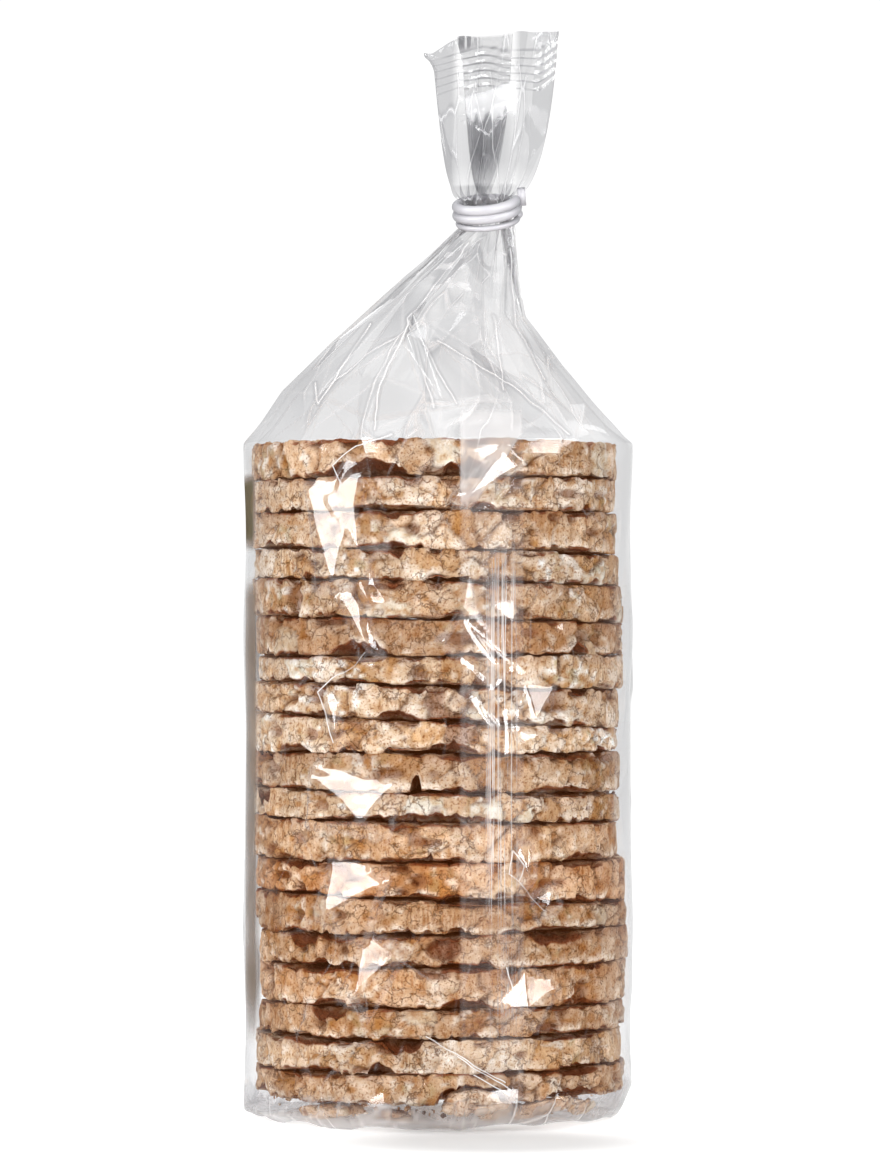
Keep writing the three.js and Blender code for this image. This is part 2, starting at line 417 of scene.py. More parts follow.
# The colour of painted shade, in hollows, pits, gaps at the rims and under the cakes above.
SHADED = linear(116, 56, 24)
CREAM = linear(246, 236, 222)
OLIVE = linear(166, 144, 96)

# The grains of one cake: how far apart the rings of them are, the least and the most room that a
# grain takes along its ring (mm), and the share of them that is missing
RING_PITCH = 6.6 * MM
GRAIN_ROOM = (6.6, 8.6)
GRAINS_MISSING = 0.2

# Where the front shows a rim broken away: the gap's number from the top, how far right of the
# middle it is and its half width in mm, and how far the cakes above and below are broken, in mm.
NOTCHES = (
    (1, -17, 11, 3.4, 0.2),
    (1, 9, 7, 3.0, 0.3),
    (2, -12, 14, 0.6, 0.5),
    (2, 12, 3, 1.4, 0.4),
    (3, -14, 5, 0.6, 1.0),
    (3, -9.5, 2.2, 1.2, 1.4),
    (4, -31, 1.8, 1.3, 0.6),
    (6, -20, 8, 3.0, 0.8),
    (6, 34, 3.2, 3.2, 0.3),
    (7, -33, 1.2, 1.1, 0.3),
    (7, -24, 1.6, 0.9, 0.3),
    (7, -4.4, 2, 0.4, 1.2),
    (7, 7, 1.8, 0.3, 1.6),
    (8, -10, 3.8, 1.7, 0.4),
    (8, 20, 1.0, 1.2, 0.3),
    (9, -34, 6, 1.1, 0.3),
    (9, 4.5, 5.5, 2.4, 0.6),
    (10, -43, 6, 0.5, 3.5),
    (10, -4.5, 1.1, 3.6, 0.2),
    (10, 31, 10, 1.0, 0.3),
    (11, -8, 26, 0.9, 0.5),
    (12, -35, 8, 0.4, 1.6),
    (12, 36, 8, 1.4, 0.6),
    (14, -34, 5, 0.4, 2.2),
    (14, 28, 9, 0.8, 2.4),
    (15, -33, 8, 0.8, 0.6),
    (15, 4, 10, 0.8, 0.4),
    (16, -28, 5, 1.2, 2.0),
    (16, 5, 5.5, 1.8, 0.2),
    (17, -31, 7, 0.4, 1.0),
    (17, -9, 5, 0.6, 2.6),
    (17, 33, 10, 0.8, 1.0),
    (18, -31, 7, 0.9, 0.6),
    (18, -14, 3.4, 2.4, 0.2),
    (18, 34, 8, 0.4, 1.4),
    (19, 8, 9, 4.5, 0.0),
    (19, 33, 10, 2.0, 0.0),
    (19, -44, 5, 2.5, 0.0),
)
LARGE_BREAKS, SMALL_BREAKS = 9, 7  # more of them round the back and at the front of each rim

# Round pits in the sides at the front: the cake's number, how far right of the middle and how far
# above the cake's own middle, half its width, half its height and how deep it is, in mm.
PITS = (
    (15, 0.2, 0.6, 4.6, 2.7, 2.6),
    (17, 26.0, -1.6, 3.0, 1.3, 2.0),
    (6, 22.0, 1.4, 2.4, 1.3, 1.4),
    (11, -28.0, 0.0, 2.0, 1.4, 1.2),
    (18, -12.0, 2.0, 4.0, 1.4, 1.6),
)

# A cake's section: the rows of points on its flat faces by their distance from the rim (mm), the
# rounded corner by distance, height and direction, and the number of rows down its side
FACE_ROWS = (10, 7, 5, 3.6, 2.5, 1.6, 0.8)
CORNER_ROWS = ((0.45, 0.985, 0.5, 0.87), (0.2, 0.93, 0.87, 0.5))
SIDE_STEPS = 14
DENSE_STEPS = 36

# Broken pieces at the base: the middle, the size across, deep and tall, all in mm, and the turn
FRAGMENTS = (
    ((8.5, -40.5, 6.2), (18, 8, 7.0), -6),
    ((25.0, -35.0, 5.2), (18, 10, 3.8), 10),
    ((35.0, -27.0, 5.0), (11, 9, 3.4), -10),
    ((-27.0, -32.0, 4.2), (16, 9, 3.6), 5),
    ((-10.0, -37.0, 3.6), (9, 7, 3.2), -10),
)
FRAGMENT_SEED = 75
FRAGMENT_GRID = (40, 60)
FRAGMENT_LOWEST = 1.8 * MM
CRUMBS, CRUMB_SEED, CRUMB_SIZE = 70, 31, 2.4 * MM
CRUMB_GRID = (7, 9)


def grain_centres(rng, radius, thickness):
    """Where the grains lie in one cake: rings of them in two layers, with some left out."""
    centres = []
    for layer in (-0.25, 0.25):
        distance = radius - 2.0 * MM
        while distance > 2 * MM:
            count = max(3, int(FULL_TURN * distance / (rng.uniform(*GRAIN_ROOM) * MM)))
            steps = np.arange(count) + rng.uniform(0, 1) + rng.uniform(-0.36, 0.36, count)
            angles = steps / count * FULL_TURN
            reach = distance + rng.uniform(-1.4, 1.4, count) * MM
            heights = layer * thickness + rng.uniform(-1.9, 1.9, count) * MM
            centres.append(around_axis(angles, reach, heights))
            distance -= RING_PITCH
    centres = np.concatenate(centres)
    return centres[rng.random(len(centres)) > GRAINS_MISSING]


def nearest_two(points, centres):
    """For each point, the distances to the two nearest centres, and which is the nearest."""
    distances, nearest = [], []
    block = 4096
    for start in range(0, len(points), block):
        part = points[start : start + block]
        squared = ((part[:, None, :] - centres[None, :, :]) ** 2).sum(axis=2)
        pair = np.argpartition(squared, 1, axis=1)[:, :2]
        values = np.take_along_axis(squared, pair, axis=1)
        order = np.argsort(values, axis=1)
        nearest.append(np.take_along_axis(pair, order, axis=1)[:, 0])
        distances.append(np.sqrt(np.take_along_axis(values, order, axis=1)))
    first, second = np.concatenate(distances).T
    return first, second, np.concatenate(nearest)


def meeting(number, side, ring):
    """Where a cake's underside (0) or top (1) touches the next cake along its rim, from 0 to 1."""
    gap = number + 1 - side
    return smoothstep(-0.1, 0.4, value_noise(ring, 11 * MM, CAKE_SEED + 300 + gap))


def break_list(number, side, radius, rng):
    """The rim's broken places: where along it each is, its half width and its depth."""
    girth = FULL_TURN * radius
    breaks = []
    for gap, x, half_width, *deep in NOTCHES:
        if gap == number + 1 - side:
            breaks.append((-math.acos(x * MM / radius) * radius, half_width * MM, deep[side] * MM))
    for _ in range(LARGE_BREAKS):
        half_width = rng.uniform(1, 3) ** 2 * MM
        breaks.append((rng.uniform(0, girth / 2), half_width, rng.uniform(0.3, 1) ** 2 * 3.2 * MM))
    for _ in range(SMALL_BREAKS):
        breaks.append((rng.uniform(girth / 2, girth), rng.uniform(0.7, 2.4) * MM, rng.uniform(0.2, 0.9) * MM))
    return breaks


def rim_breaks(number, side, angles, radius, rng):
    """How far the rim is broken away at each angle, of the cake's underside (0) or its top (1)."""
    girth = FULL_TURN * radius
    depth = np.zeros(len(angles))
    for middle, half_width, deep in break_list(number, side, radius, rng):
        across = np.abs((angles * radius - middle + girth / 2) % girth - girth / 2) / half_width
        depth = np.maximum(depth, deep * np.clip(1 - across**3, 0, 1) ** 0.7)
    ring = circle(angles) * radius
    seed = CAKE_SEED + number * 4 + side * 2
    ragged = value_noise(ring, 2.3 * MM, seed) + 0.8 * value_noise(ring, 0.9 * MM, seed + 1)
    rolling = 0.5 * MM * smoothstep(0.0, 0.9, value_noise(ring, 9 * MM, seed + 700))
    between_lumps = bell(value_noise(ring, 3.2 * MM, seed + 701) / 0.18)
    patchy = smoothstep(-0.4, 0.3, value_noise(ring, 14 * MM, seed + 702))
    scallops = (0.8, 0.3)[side] * MM * between_lumps * patchy
    apart = 1 - 0.8 * meeting(number, side, ring)
    return depth * (1 + 0.25 * ragged) + (0.3 * MM * np.maximum(ragged, 0) + rolling + scallops) * apart


def pit_depth(number, points, radius):
    """How much deeper the front's own pits are at each point of a cake's side."""
    depth = np.zeros(len(points))
    for cake_number, x, rise, half_width, half_height, deep in PITS:
        if cake_number == number + 1:
            across = (points[:, 0] - x * MM) / (half_width * MM)
            up = (points[:, 2] - rise * MM) / (half_height * MM)
            inside = smoothstep(1.15, 0.75, np.hypot(across, up)) * (points[:, 1] < -0.5 * radius)
            depth = np.maximum(depth, deep * MM * inside)
    return depth


def cake_profile(radius, dense_top):
    """The cake's section from the middle of its top to the middle of its underside. Each row has a
    distance from the axis, a height from -1 to 1, and the direction that relief is raised in."""
    inner = [(0.3 * radius, 1, 0, 1), (0.62 * radius, 1, 0, 1)]
    top = inner
    if dense_top:
        top = [(radius * (0.02 + 0.74 * i / DENSE_STEPS), 1, 0, 1) for i in range(DENSE_STEPS + 1)]
    rim = [(radius - d * MM, 1, 0, 1) for d in FACE_ROWS]
    rim += [(radius - d * MM, *rest) for d, *rest in CORNER_ROWS]
    levels = [0.84 - 1.68 * i / SIDE_STEPS for i in range(SIDE_STEPS + 1)]
    side = [(radius - 0.2 * MM * abs(level) ** 4, level, 1, 0) for level in levels]
    under = [(r, -z, across, -up) for r, z, across, up in reversed(inner + rim)]
    return np.array(top + rim + side + under)


def grain_colours(points, grain, which, brightness, seed):
    """The tint of each point's grain, a little darker or lighter from place to place."""
    tints = np.array([row[1] for row in GRAIN_TINTS])[grain] * brightness[:, None]
    return tints[which] * (1 + 0.07 * value_noise(points, 8 * MM, seed + 23))[:, None]


def grain_surface(points, rng, radius, thickness, seed):
    """How far each point of a cake stands proud, with its colour and its kinds of surface."""
    centres = grain_centres(rng, radius, thickness)
    fine = noise_axes(points, 1.3 * MM, seed + 7)
    pushed = points + noise_axes(points, 4.2 * MM, seed) * 2.0 * MM + fine * 0.5 * MM
    first, second, which = nearest_two(pushed, centres)
    gap = second - first

    count = len(centres)
    shares = np.array([row[0] for row in GRAIN_TINTS])
    grain = rng.choice(len(GRAIN_TINTS), size=count, p=shares / shares.sum())
    sunk = rng.uniform(-0.5, 0.3, count) * MM
    brightness = rng.uniform(0.88, 1.12, count)

    shown = smoothstep(-0.5, 0.3, value_noise(points, 7 * MM, seed + 20))
    groove = bell(gap / (0.9 * MM)) * (0.25 + 0.75 * shown)
    hairline = bell(gap / (0.34 * MM)) * shown
    hollow = smoothstep(0.42, 0.72, value_noise(points * np.array([1, 1, 1.5]), 5 * MM, seed + 21))
    granular = smoothstep(0.0, 0.4, value_noise(points, 10 * MM, seed + 22))
    speck = value_noise(points, 1.6 * MM, seed + 41)
    shred = value_noise(points + fine * 0.8 * MM, 2.0 * MM, seed + 42)

    rise = sunk[which] - 0.65 * MM * groove - 0.35 * MM * hairline - 1.7 * MM * hollow
    rise += 0.28 * MM * value_noise(points, 2.6 * MM, seed + 31)
    rise += 0.12 * MM * value_noise(points, 0.9 * MM, seed + 30) + (0.1 + 0.3 * granular) * MM * speck

    colour = grain_colours(points, grain, which, brightness, seed)
    colour = toward(colour, CREAM, (0.25 + 0.5 * granular) * smoothstep(0.2, 0.5, speck))
    colour = toward(colour, AMBER, (0.1 + 0.5 * granular) * smoothstep(-0.2, -0.5, speck))
    colour = toward(colour, OLIVE, 0.5 * granular * smoothstep(0.3, 0.6, shred))
    colour = toward(colour, AMBER, 0.75 * smoothstep(0.52, 0.7, value_noise(points, 3.1 * MM, seed + 43)))
    # Painted shade in the hollows.
    colour = toward(colour, SHADED, 0.6 * hollow)
    # The lines between grains: the cracks' own dark brown, and painted shade in the grooves.
    crack_and_groove_shade = np.where(hash01(which[:, None], seed + 3)[:, None] < 0.35, AMBER, HUSK)
    colour = toward(colour, crack_and_groove_shade, 0.85 * hairline + 0.3 * groove * (1 - hairline))
    fibre, glassy = (np.array([row[k] for row in GRAIN_TINTS])[grain][which] for k in (2, 3))
    glassy = glassy * smoothstep(0.2 * MM, 1.0 * MM, gap)
    return rise, colour, np.stack([fibre * (1 - granular), glassy, hollow], axis=1)


def cake_body(profile, radius, angles, half, low_break, top_break):
    """A flat cake's points with its rims broken away, the ways outward, and how broken each is."""
    inward = radius - profile[:, 0:1]
    reach = 3 * MM + 1.8 * np.stack([low_break, top_break])
    low_share, top_share = (smoothstep(1, 0.25, inward / r[None, :]) for r in reach)
    top = half - top_break[None, :] * top_share
    low = -half + low_break[None, :] * low_share
    heights = low + (profile[:, 1:2] / 2 + 0.5) * (top - low)
    points = around_axis(angles, profile[:, 0:1], heights)
    outward = around_axis(angles, profile[:, 2:3], profile[:, 3:4])
    broken = top_break[None, :] * top_share + low_break[None, :] * low_share
    return points.reshape(-1, 3), outward.reshape(-1, 3), broken.ravel()


def cake_colours(colour, tone, points, level, on_face, broken, seed):
    """A cake's colours in its own tone, with painted shade at its broken rims, along the edges of its
    side and under the cake above, and with pale shreds.
    """
    lightness, paleness = tone
    colour = colour * lightness * np.array([paleness**-0.5, 1, paleness**0.5])
    # Painted shade where the rim is broken and along the top and bottom of the side, at the gaps.
    painted_gap_shade = np.where(on_face, 0.9 * smoothstep(0.2 * MM, 1.0 * MM, broken), 0.45 * np.abs(level) ** 10)
    lumpy = value_noise(points, 4 * MM, seed + 61)
    # Painted shade on the upper part of the side, under the cake above.
    shade_under_overhang = 0.36 * smoothstep(0.2, 1.0, level) * smoothstep(-0.6, 0.5, lumpy)
    colour = toward(colour, SHADED, np.maximum(painted_gap_shade, shade_under_overhang))
    pale = 0.6 * smoothstep(-0.2, -0.8, level) * smoothstep(0.05, 0.4, lumpy) * ~on_face
    return toward(colour, CREAM, pale)


def cake_relief(rise, number, profile, angles, radius, on_face, seed):
    """The grains' relief with the rim's own wobble, within limits, and raised where cakes touch."""
    around = circle(angles)
    wobble = value_noise(around, 0.7, seed + 60) * 0.5 * MM
    rise = rise + np.where(profile[:, 2:3] > 0, wobble[None, :], 0).ravel()
    rise = np.where(on_face, np.clip(rise, -0.9 * MM, 0.2 * MM), np.clip(rise, -3 * MM, 0.45 * MM))
    at_corner = (profile[:, 2:3] > 0) & (profile[:, 3:4] != 0)
    top, low = (meeting(number, side, around * radius)[None] for side in (1, 0))
    touching = np.where(profile[:, 3:4] > 0, top, low)
    return rise + (0.3 * MM * touching * at_corner).ravel()


def between_planes(points, thickness, top_plane, low_plane):
    """A flat cake's points, moved up and down to fill the room between two sloping planes."""
    share = points[:, 2] / thickness + 0.5
    high, low = (height + slope * points[:, 0] for height, slope in (top_plane, low_plane))
    return np.stack([points[:, 0] * CAKE_STRETCH, points[:, 1], low + share * (high - low)], axis=1)


def close_cake(points, rows):
    """The rings of a cake and a point in the middle of each face, with all the triangles."""
    columns = CAKE_COLUMNS
    vertices = np.concatenate([points, [points[:columns].mean(axis=0), points[-columns:].mean(axis=0)]])
    start = np.arange(columns)
    after = (start + 1) % columns
    hub = np.full(columns, rows * columns)
    base = (rows - 1) * columns
    top_fan = np.stack([start, after, hub], axis=1)
    low_fan = np.stack([base + after, base + start, hub + 1], axis=1)
    quads = ring_grid(rows, columns)[:, ::-1]
    sides = [quads[:, [0, 1, 2]], quads[:, [0, 2, 3]]]
    return vertices, np.concatenate([*sides, top_fan, low_fan])


def make_cake(name, number, thickness, planes, middle, tone, material):
    """One whole cake between two sloping planes, upper and lower, each given as (height, slope)."""
    rng = np.random.default_rng(CAKE_SEED + number)
    seed = CAKE_SEED * 100 + number * 50
    radius = CAKE_RADIUS - rng.uniform(-0.2, 0.5) * MM
    profile = cake_profile(radius, dense_top=number == 0)
    angles = evenly_around(CAKE_COLUMNS)
    breaks = [rim_breaks(number, side, angles, radius, rng) for side in (0, 1)]
    points, outward, broken = cake_body(profile, radius, angles, thickness / 2, *breaks)
    on_face = np.abs(outward[:, 2]) > 0.4
    level = np.repeat(profile[:, 1], CAKE_COLUMNS)

    rise, colour, kinds = grain_surface(points, rng, radius, thickness, seed)
    rise = cake_relief(rise, number, profile, angles, radius, on_face, seed)
    pit = np.where(on_face, 0, pit_depth(number, points, radius))
    colour = cake_colours(colour, tone, points, level, on_face, broken, seed)
    # Painted shade in the pits.
    colour = toward(colour, SHADED, 0.7 * smoothstep(0.2 * MM, 2 * MM, pit))
    placed = between_planes(points + outward * (rise - pit)[:, None], thickness, *planes)
    placed[:, :2] += middle

    piece = new_piece(name, *close_cake(placed, len(profile)), material, "puffed_cake")
    paint(piece, "tint", np.concatenate([colour, [colour[0], colour[-1]]]))
    paint(piece, "kind", np.concatenate([kinds, np.zeros((2, 3))]))
    return piece


def make_stack(material):
    """All whole cakes, each resting on the one below with a thin uneven gap."""
    pieces = []
    height = STACK_HIGH
    slope = 0.0
    rng = np.random.default_rng(CAKE_SEED)
    for number, (thickness, tilt, shift, *tone) in enumerate(CAKES):
        low_height = height - thickness * MM
        low_slope = math.tan(math.radians(tilt))
        planes = ((height - CAKE_GAP / 2, slope), (low_height + CAKE_GAP / 2, low_slope))
        middle = np.array([shift - 0.3, rng.uniform(-0.3, 0.3)]) * MM
        name = f"cake_{number + 1:02d}"
        pieces.append(make_cake(name, number, thickness * MM, planes, middle, tone, material))
        height, slope = low_height, low_slope
    return pieces


def lump_grid(rows, columns):
    """Points on a unit sphere, row by row, with the faces between them."""
    levels = np.linspace(0.02, math.pi - 0.02, rows)[:, None]
    points = around_axis(evenly_around(columns), np.sin(levels), np.cos(levels))
    return points.reshape(-1, 3), ring_grid(rows, columns)[:, ::-1]


def inside_bag(points):
    """Points of a broken piece, held above the base and within the bag's oval."""
    points[:, 2] = np.maximum(points[:, 2], FRAGMENT_LOWEST)
    reach = np.hypot(points[:, 0] / WALL_HALF_X, points[:, 1] / WALL_HALF_Y)
    most = 0.965 - 0.06 * smoothstep(7 * MM, 2 * MM, points[:, 2])
    points[:, :2] *= np.minimum(1, most / reach)[:, None]
    return points


def make_fragment(name, centre, size, turn, seed, material):
    """A broken piece of cake: a squarish lump with a ragged outline and the grains of a whole cake."""
    unit, faces = lump_grid(*FRAGMENT_GRID)
    squared = np.sign(unit) * np.abs(unit) ** 0.7
    outline = 1 + 0.22 * value_noise(unit, 0.9, seed) + 0.12 * value_noise(unit, 0.35, seed + 1)
    local = squared * outline[:, None] * np.array(size) * MM / 2
    on_cake = local + np.array([0, -CAKE_RADIUS + 6 * MM, 0])
    rise, colour, kinds = grain_surface(on_cake, np.random.default_rng(seed), CAKE_RADIUS, 9 * MM, seed * 10)
    colour = colour + (CREAM - colour) * (0.35 if size[2] > 5 else 0.05)
    local = local + unit * (0.7 * rise)[:, None]
    points = local @ rolled(math.radians(turn)) + np.array(centre) * MM
    piece = new_piece(name, inside_bag(points), faces, material, "puffed_cake")
    paint(piece, "tint", colour)
    paint(piece, "kind", kinds)
    return piece


def make_crumbs(material):
    """Small crumbs in the fold of the base, most of them at the front."""
    rng = np.random.default_rng(CRUMB_SEED)
    unit, faces = lump_grid(*CRUMB_GRID)
    points, every_face, colours = [], [], []
    for number in range(CRUMBS):
        angle = rng.normal(-math.pi / 2, 0.9)
        reach = (WALL_HALF_Y if number % 3 else CAKE_RADIUS) - rng.uniform(4, 10) * MM
        size = rng.uniform(0.5, 1.0) ** 2 * CRUMB_SIZE
        lump = unit * rng.uniform(0.4, 1.0, 3) * (1 + 0.35 * value_noise(unit, 0.6, 900 + number))[:, None]
        place = around_axis(angle, reach, rng.uniform(3, 6) * MM)
        every_face.append(faces + len(unit) * number)
        points.append(lump * size / 2 + place)
        tint = (CREAM, AMBER, HUSK, GRAIN_TINTS[0][1], GRAIN_TINTS[4][1])[rng.integers(5)]
        colours.append(np.tile(tint, (len(unit), 1)))
    piece = new_piece("crumbs", np.concatenate(points), np.concatenate(every_face), material, "puffed_cake")
    paint(piece, "tint", np.concatenate(colours))
    paint(piece, "kind", np.zeros((CRUMBS * len(unit), 3)))
    return piece


def make_broken(material):
    """What has broken off the lowest cakes, lying under and in front of them."""
    pieces = []
    for number, row in enumerate(FRAGMENTS):
        pieces.append(make_fragment(f"fragment_{number + 1}", *row, FRAGMENT_SEED + number, material))
    return pieces + [make_crumbs(material)]


# ---------------------------------------------------------------- the film

FILM_COLUMNS = 480
GIRTH = math.pi * (WALL_HALF_X + WALL_HALF_Y)
ROWS_WALL, ROWS_SHOULDER, ROWS_NECK, ROWS_TAIL = 176, 108, 12, 62
CURVE_STEPS = 160

# The base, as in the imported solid, and its rings: how far in from the edge and how high each is (mm)
CORNER_HEIGHT, CORNER_LIFT = 5 * MM, 3 * MM
FOOT_INSET = 4 * MM
BASE_LOW, BASE_LIFT = 0.15 * MM, 0.25 * MM
BASE_RINGS = ((40, 3.5), (32, 2.9), (25, 2.5), (19, 2.1), (14, 1.5), (10, 1.0), (7, 0.6), (5, 0.4))

# The shoulders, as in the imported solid: a corner between the stack's rim and the neck
SHOULDER_REACH, SHOULDER_REACH_SWING = 30 * MM, 9.5 * MM
SHOULDER_HEIGHT, SHOULDER_HEIGHT_SWING = 192 * MM, 8 * MM
SHOULDER_TIGHTNESS = 4.5
# Their facets: the columns and levels of the net of corners, and how freely each level may move
NET_COLUMNS = 16
NET_LEVELS = (0.0, 0.2, 0.42, 0.64, 1.0)
NET_FREEDOM = (0.0, 1.0, 1.0, 0.8, 0.0)
NET_SEED = 3
# The net's corners at the front that are placed: level, column, and the tip's x, z and rise (mm)
FRONT_CORNERS = ((2, 12, -6.3, 200, 3.0), (1, 12, 1.0, 178, 0.5), (3, 12, 6.5, 213, 1.5))
NECK_PLEATS, PLEAT_DEPTH, PLEAT_SEED = 17, 0.22, 6

# The neck and the tail
NECK = np.array([12.4, 1.0, 228.0]) * MM
NECK_RADIUS = 6.2 * MM
NECK_LEAN, NECK_ROLL = math.radians(20), math.radians(4.5)
NECK_HALF, NECK_ABOVE = 3.9 * MM, 2.8 * MM
# The tie's turns: wire radius and coil radius (mm), first and last turn, lowest and highest (mm)
TIE_TURNS = ((1.3, 7.6, -0.02, 2.0, -2.0, 2.6), (0.75, 7.5, 0.35, 1.05, -3.1, -2.5))
TIE_STEPS, TIE_SIDES = 200, 16
TIE_TAB_HALF, TIE_TAB_PLACE = (1.0, 1.2, 2.1), (8.9, -0.6, 3.0)
TAIL_TOP = np.array([14.2 * MM, -9 * MM, BAG_HIGH[2]])
TAIL_STRAIGHT = 16 * MM
TAIL_FOLDS = (-16.0, 4.5, -8.8, 16.0)  # across, in mm, where the flattened tube turns back on itself
TAIL_DEPTH = 7 * MM
TAIL_DENTS, TAIL_SEED = 9, 12

# Dents in the wall that catch the light: how far right of the middle the tip is and how high, its
# turn in degrees, how far it stands out, and how far it reaches to the left, right, down and up (mm).
DENTS = (
    (-18, 141.8, 31, 3.5, 3, 6, 4, 18),
    (-23.8, 134.0, 8, 4.2, 7, 9, 2.5, 26),
    (-24, 158, -35, 0.8, 2, 1.5, 3, 7),
    (7, 154, -45, 2.0, 3, 4, 3, 16),
    (-15.5, 128.5, 35, 3.0, 3.5, 3.5, 3, 17),
    (-16.5, 117.6, 22, 2.2, 3.5, 3, 3, 16),
    (-24, 95, 12, 1.6, 2.2, 2, 2, 13),
    (13.6, 113, 45, 2.2, 4.5, 4, 3, 15),
    (12.4, 98.6, 45, 1.5, 3, 2, 2, 11),
    (23, 100, -10, 1.7, 5, 5, 3, 10),
    (-18, 75.8, -8, 2.0, 17, 8, 4, 10.5),
    (-26, 53, -20, 2.6, 5, 12, 4, 14),
    (-19.7, 32.6, -25, 2.6, 5, 6, 3, 17),
    (20.6, 29.8, -32, 1.9, 6.5, 6.5, 3, 10),
    (20.5, 62, 0, 1.4, 2, 2.5, 2, 9),
    (27, 54, 20, 1.0, 4, 4, 2, 5),
)
RANDOM_DENTS, DENT_SEED = 130, 17
SEAM_MIDDLE, SEAM_WIDTH = 13.2 * MM, 14.4 * MM
# Sharp creases across the front of the shoulders, drawn as a painted highlight and painted shade,
# each from (x, z) to (x, z) in mm
CREASES = (
    ((8.5, 220.0), (-6.7, 200.0)),
    ((-6.7, 200.0), (-0.3, 177.0)),
    ((-6.7, 200.0), (5.4, 178.0)),
    ((-28.5, 178.5), (-16.0, 199.0)),
    ((-28.5, 178.5), (-29.8, 184.0)),
    ((-14.5, 172.0), (-13.5, 183.0)),
    ((-13.5, 183.0), (-5.6, 200.0)),
    ((18.9, 219.0), (20.2, 199.0)),
    ((20.2, 199.0), (27.4, 185.0)),
    ((0.5, 194.0), (21.0, 181.6)),
    ((21.0, 181.6), (33.0, 171.0)),
    ((14.6, 201.0), (16.8, 181.6)),
)
# Thin creases in the front of the wall, in the same way
WALL_CREASES = (
    ((-10.6, 170.5), (-19.0, 167.5)),
    ((-19.0, 167.5), (-25.0, 163.0)),
    ((-25.0, 163.0), (-22.6, 158.5)),
    ((-16.9, 117.1), (-19.1, 114.6)),
    ((-19.1, 114.6), (-23.2, 111.9)),
    ((-23.2, 111.9), (-28.4, 108.0)),
    ((-28.4, 108.0), (-24.9, 95.7)),
    ((8.0, 57.9), (19.0, 57.9)),
    ((-2.0, 24.5), (17.0, 13.0)),
    ((5.5, 19.5), (18.5, 11.2)),
    ((9.5, 15.2), (18.0, 9.8)),
    ((17.5, 41.0), (19.8, 33.0)),
    ((19.1, 69.0), (21.8, 65.5)),
    ((21.8, 65.5), (20.3, 61.5)),
    ((19.1, 69.0), (18.2, 63.5)),
    ((18.2, 63.5), (20.3, 61.5)),
    ((20.3, 61.5), (26.5, 54.5)),
)
SEAL_FROM, SEAL_PITCH, SEAL_RIBS = 4.5 * MM, 1.9 * MM, 5


def turned(lean, roll):
    """Axes across, backwards and along, leaning forwards and rolled to the left."""
    c, s = math.cos(lean), math.sin(lean)
    return np.array([[1, 0, 0], [0, c, s], [0, -s, c]]) @ rolled(roll)


NECK_AXES = turned(NECK_LEAN, NECK_ROLL)


def wall_point(angles, heights, outward=0.0):
    x = (WALL_HALF_X + outward) * np.cos(angles)
    y = (WALL_HALF_Y + outward) * np.sin(angles)
    return np.stack([x, y, heights + 0 * angles], axis=-1)


def shoulder_point(angles, share):
    """A point on each direction's conic curve from the rim over the corner to the neck."""
    rim = wall_point(angles, STACK_HIGH)
    reach = SHOULDER_REACH - SHOULDER_REACH_SWING * np.cos(angles)
    height = SHOULDER_HEIGHT + SHOULDER_HEIGHT_SWING * np.cos(angles)
    corner = around_axis(angles, reach, height)
    neck = NECK + around_axis(angles, NECK_RADIUS, -NECK_HALF) @ NECK_AXES
    weights = ((1 - share) ** 2, 2 * SHOULDER_TIGHTNESS * share * (1 - share), share**2)
    return (rim * weights[0] + corner * weights[1] + neck * weights[2]) / sum(weights)


def even_rows(points, rows):
    """The same curves with their points at even distances along each."""
    steps = np.linalg.norm(np.diff(points, axis=0), axis=2)
    along = np.concatenate([np.zeros((1, points.shape[1])), np.cumsum(steps, axis=0)])
    result = np.empty((rows, points.shape[1], 3))
    for column in range(points.shape[1]):
        want = np.linspace(0, along[-1, column], rows)
        for axis in range(3):
            result[:, column, axis] = np.interp(want, along[:, column], points[:, column, axis])
    return result


def pleat_wave(angles):
    """A sharp-edged wave from -1 to 1, whose pleats are uneven in width."""
    turn = NECK_PLEATS * angles / FULL_TURN + 0.9 * value_noise(circle(angles), 0.8, PLEAT_SEED)
    return 1 - 4 * np.abs(turn - np.floor(turn) - 0.5)


def pleated(angles):
    """How far out the neck's film is at each angle, as a share of its radius."""
    return 1 + PLEAT_DEPTH * (pleat_wave(angles) - 1)


def random_dents(rng):
    """Dents all round the wall, smaller and closer together near the base."""
    dents = []
    for _ in range(RANDOM_DENTS):
        low = rng.random() < 0.3
        size = rng.uniform(0.35, 0.7) if low else rng.uniform(0.5, 1.4)
        middle = rng.uniform(0, GIRTH)
        level = rng.uniform(4, 26) * MM if low else rng.uniform(10 * MM, STACK_HIGH)
        reach = [rng.uniform(*limits) * size for limits in ((3, 10), (3, 10), (3, 14), (6, 20))]
        peak = rng.uniform(0.4, 1.3) * size
        dents.append((middle, level, rng.normal(0, 0.5), peak * MM, [r * MM for r in reach]))
    return dents


def placed_dents():
    """The front's own dents, with their places as distances around from +X."""
    dents = []
    for x, z, turn, peak, *reach in DENTS:
        middle = (FULL_TURN - math.acos(x * MM / WALL_HALF_X)) / FULL_TURN * GIRTH
        dents.append((middle, z * MM, math.radians(turn), peak * MM, [r * MM for r in reach]))
    return dents


def tent(first, second, reach):
    """A low four-sided tent of height 1 over a rectangle that reaches left, right, down and up."""
    left, right, down, up = reach
    slope_first = np.where(first > 0, first / right, -first / left)
    slope_second = np.where(second > 0, second / up, -second / down)
    return np.maximum(0, 1 - np.maximum(slope_first, slope_second))


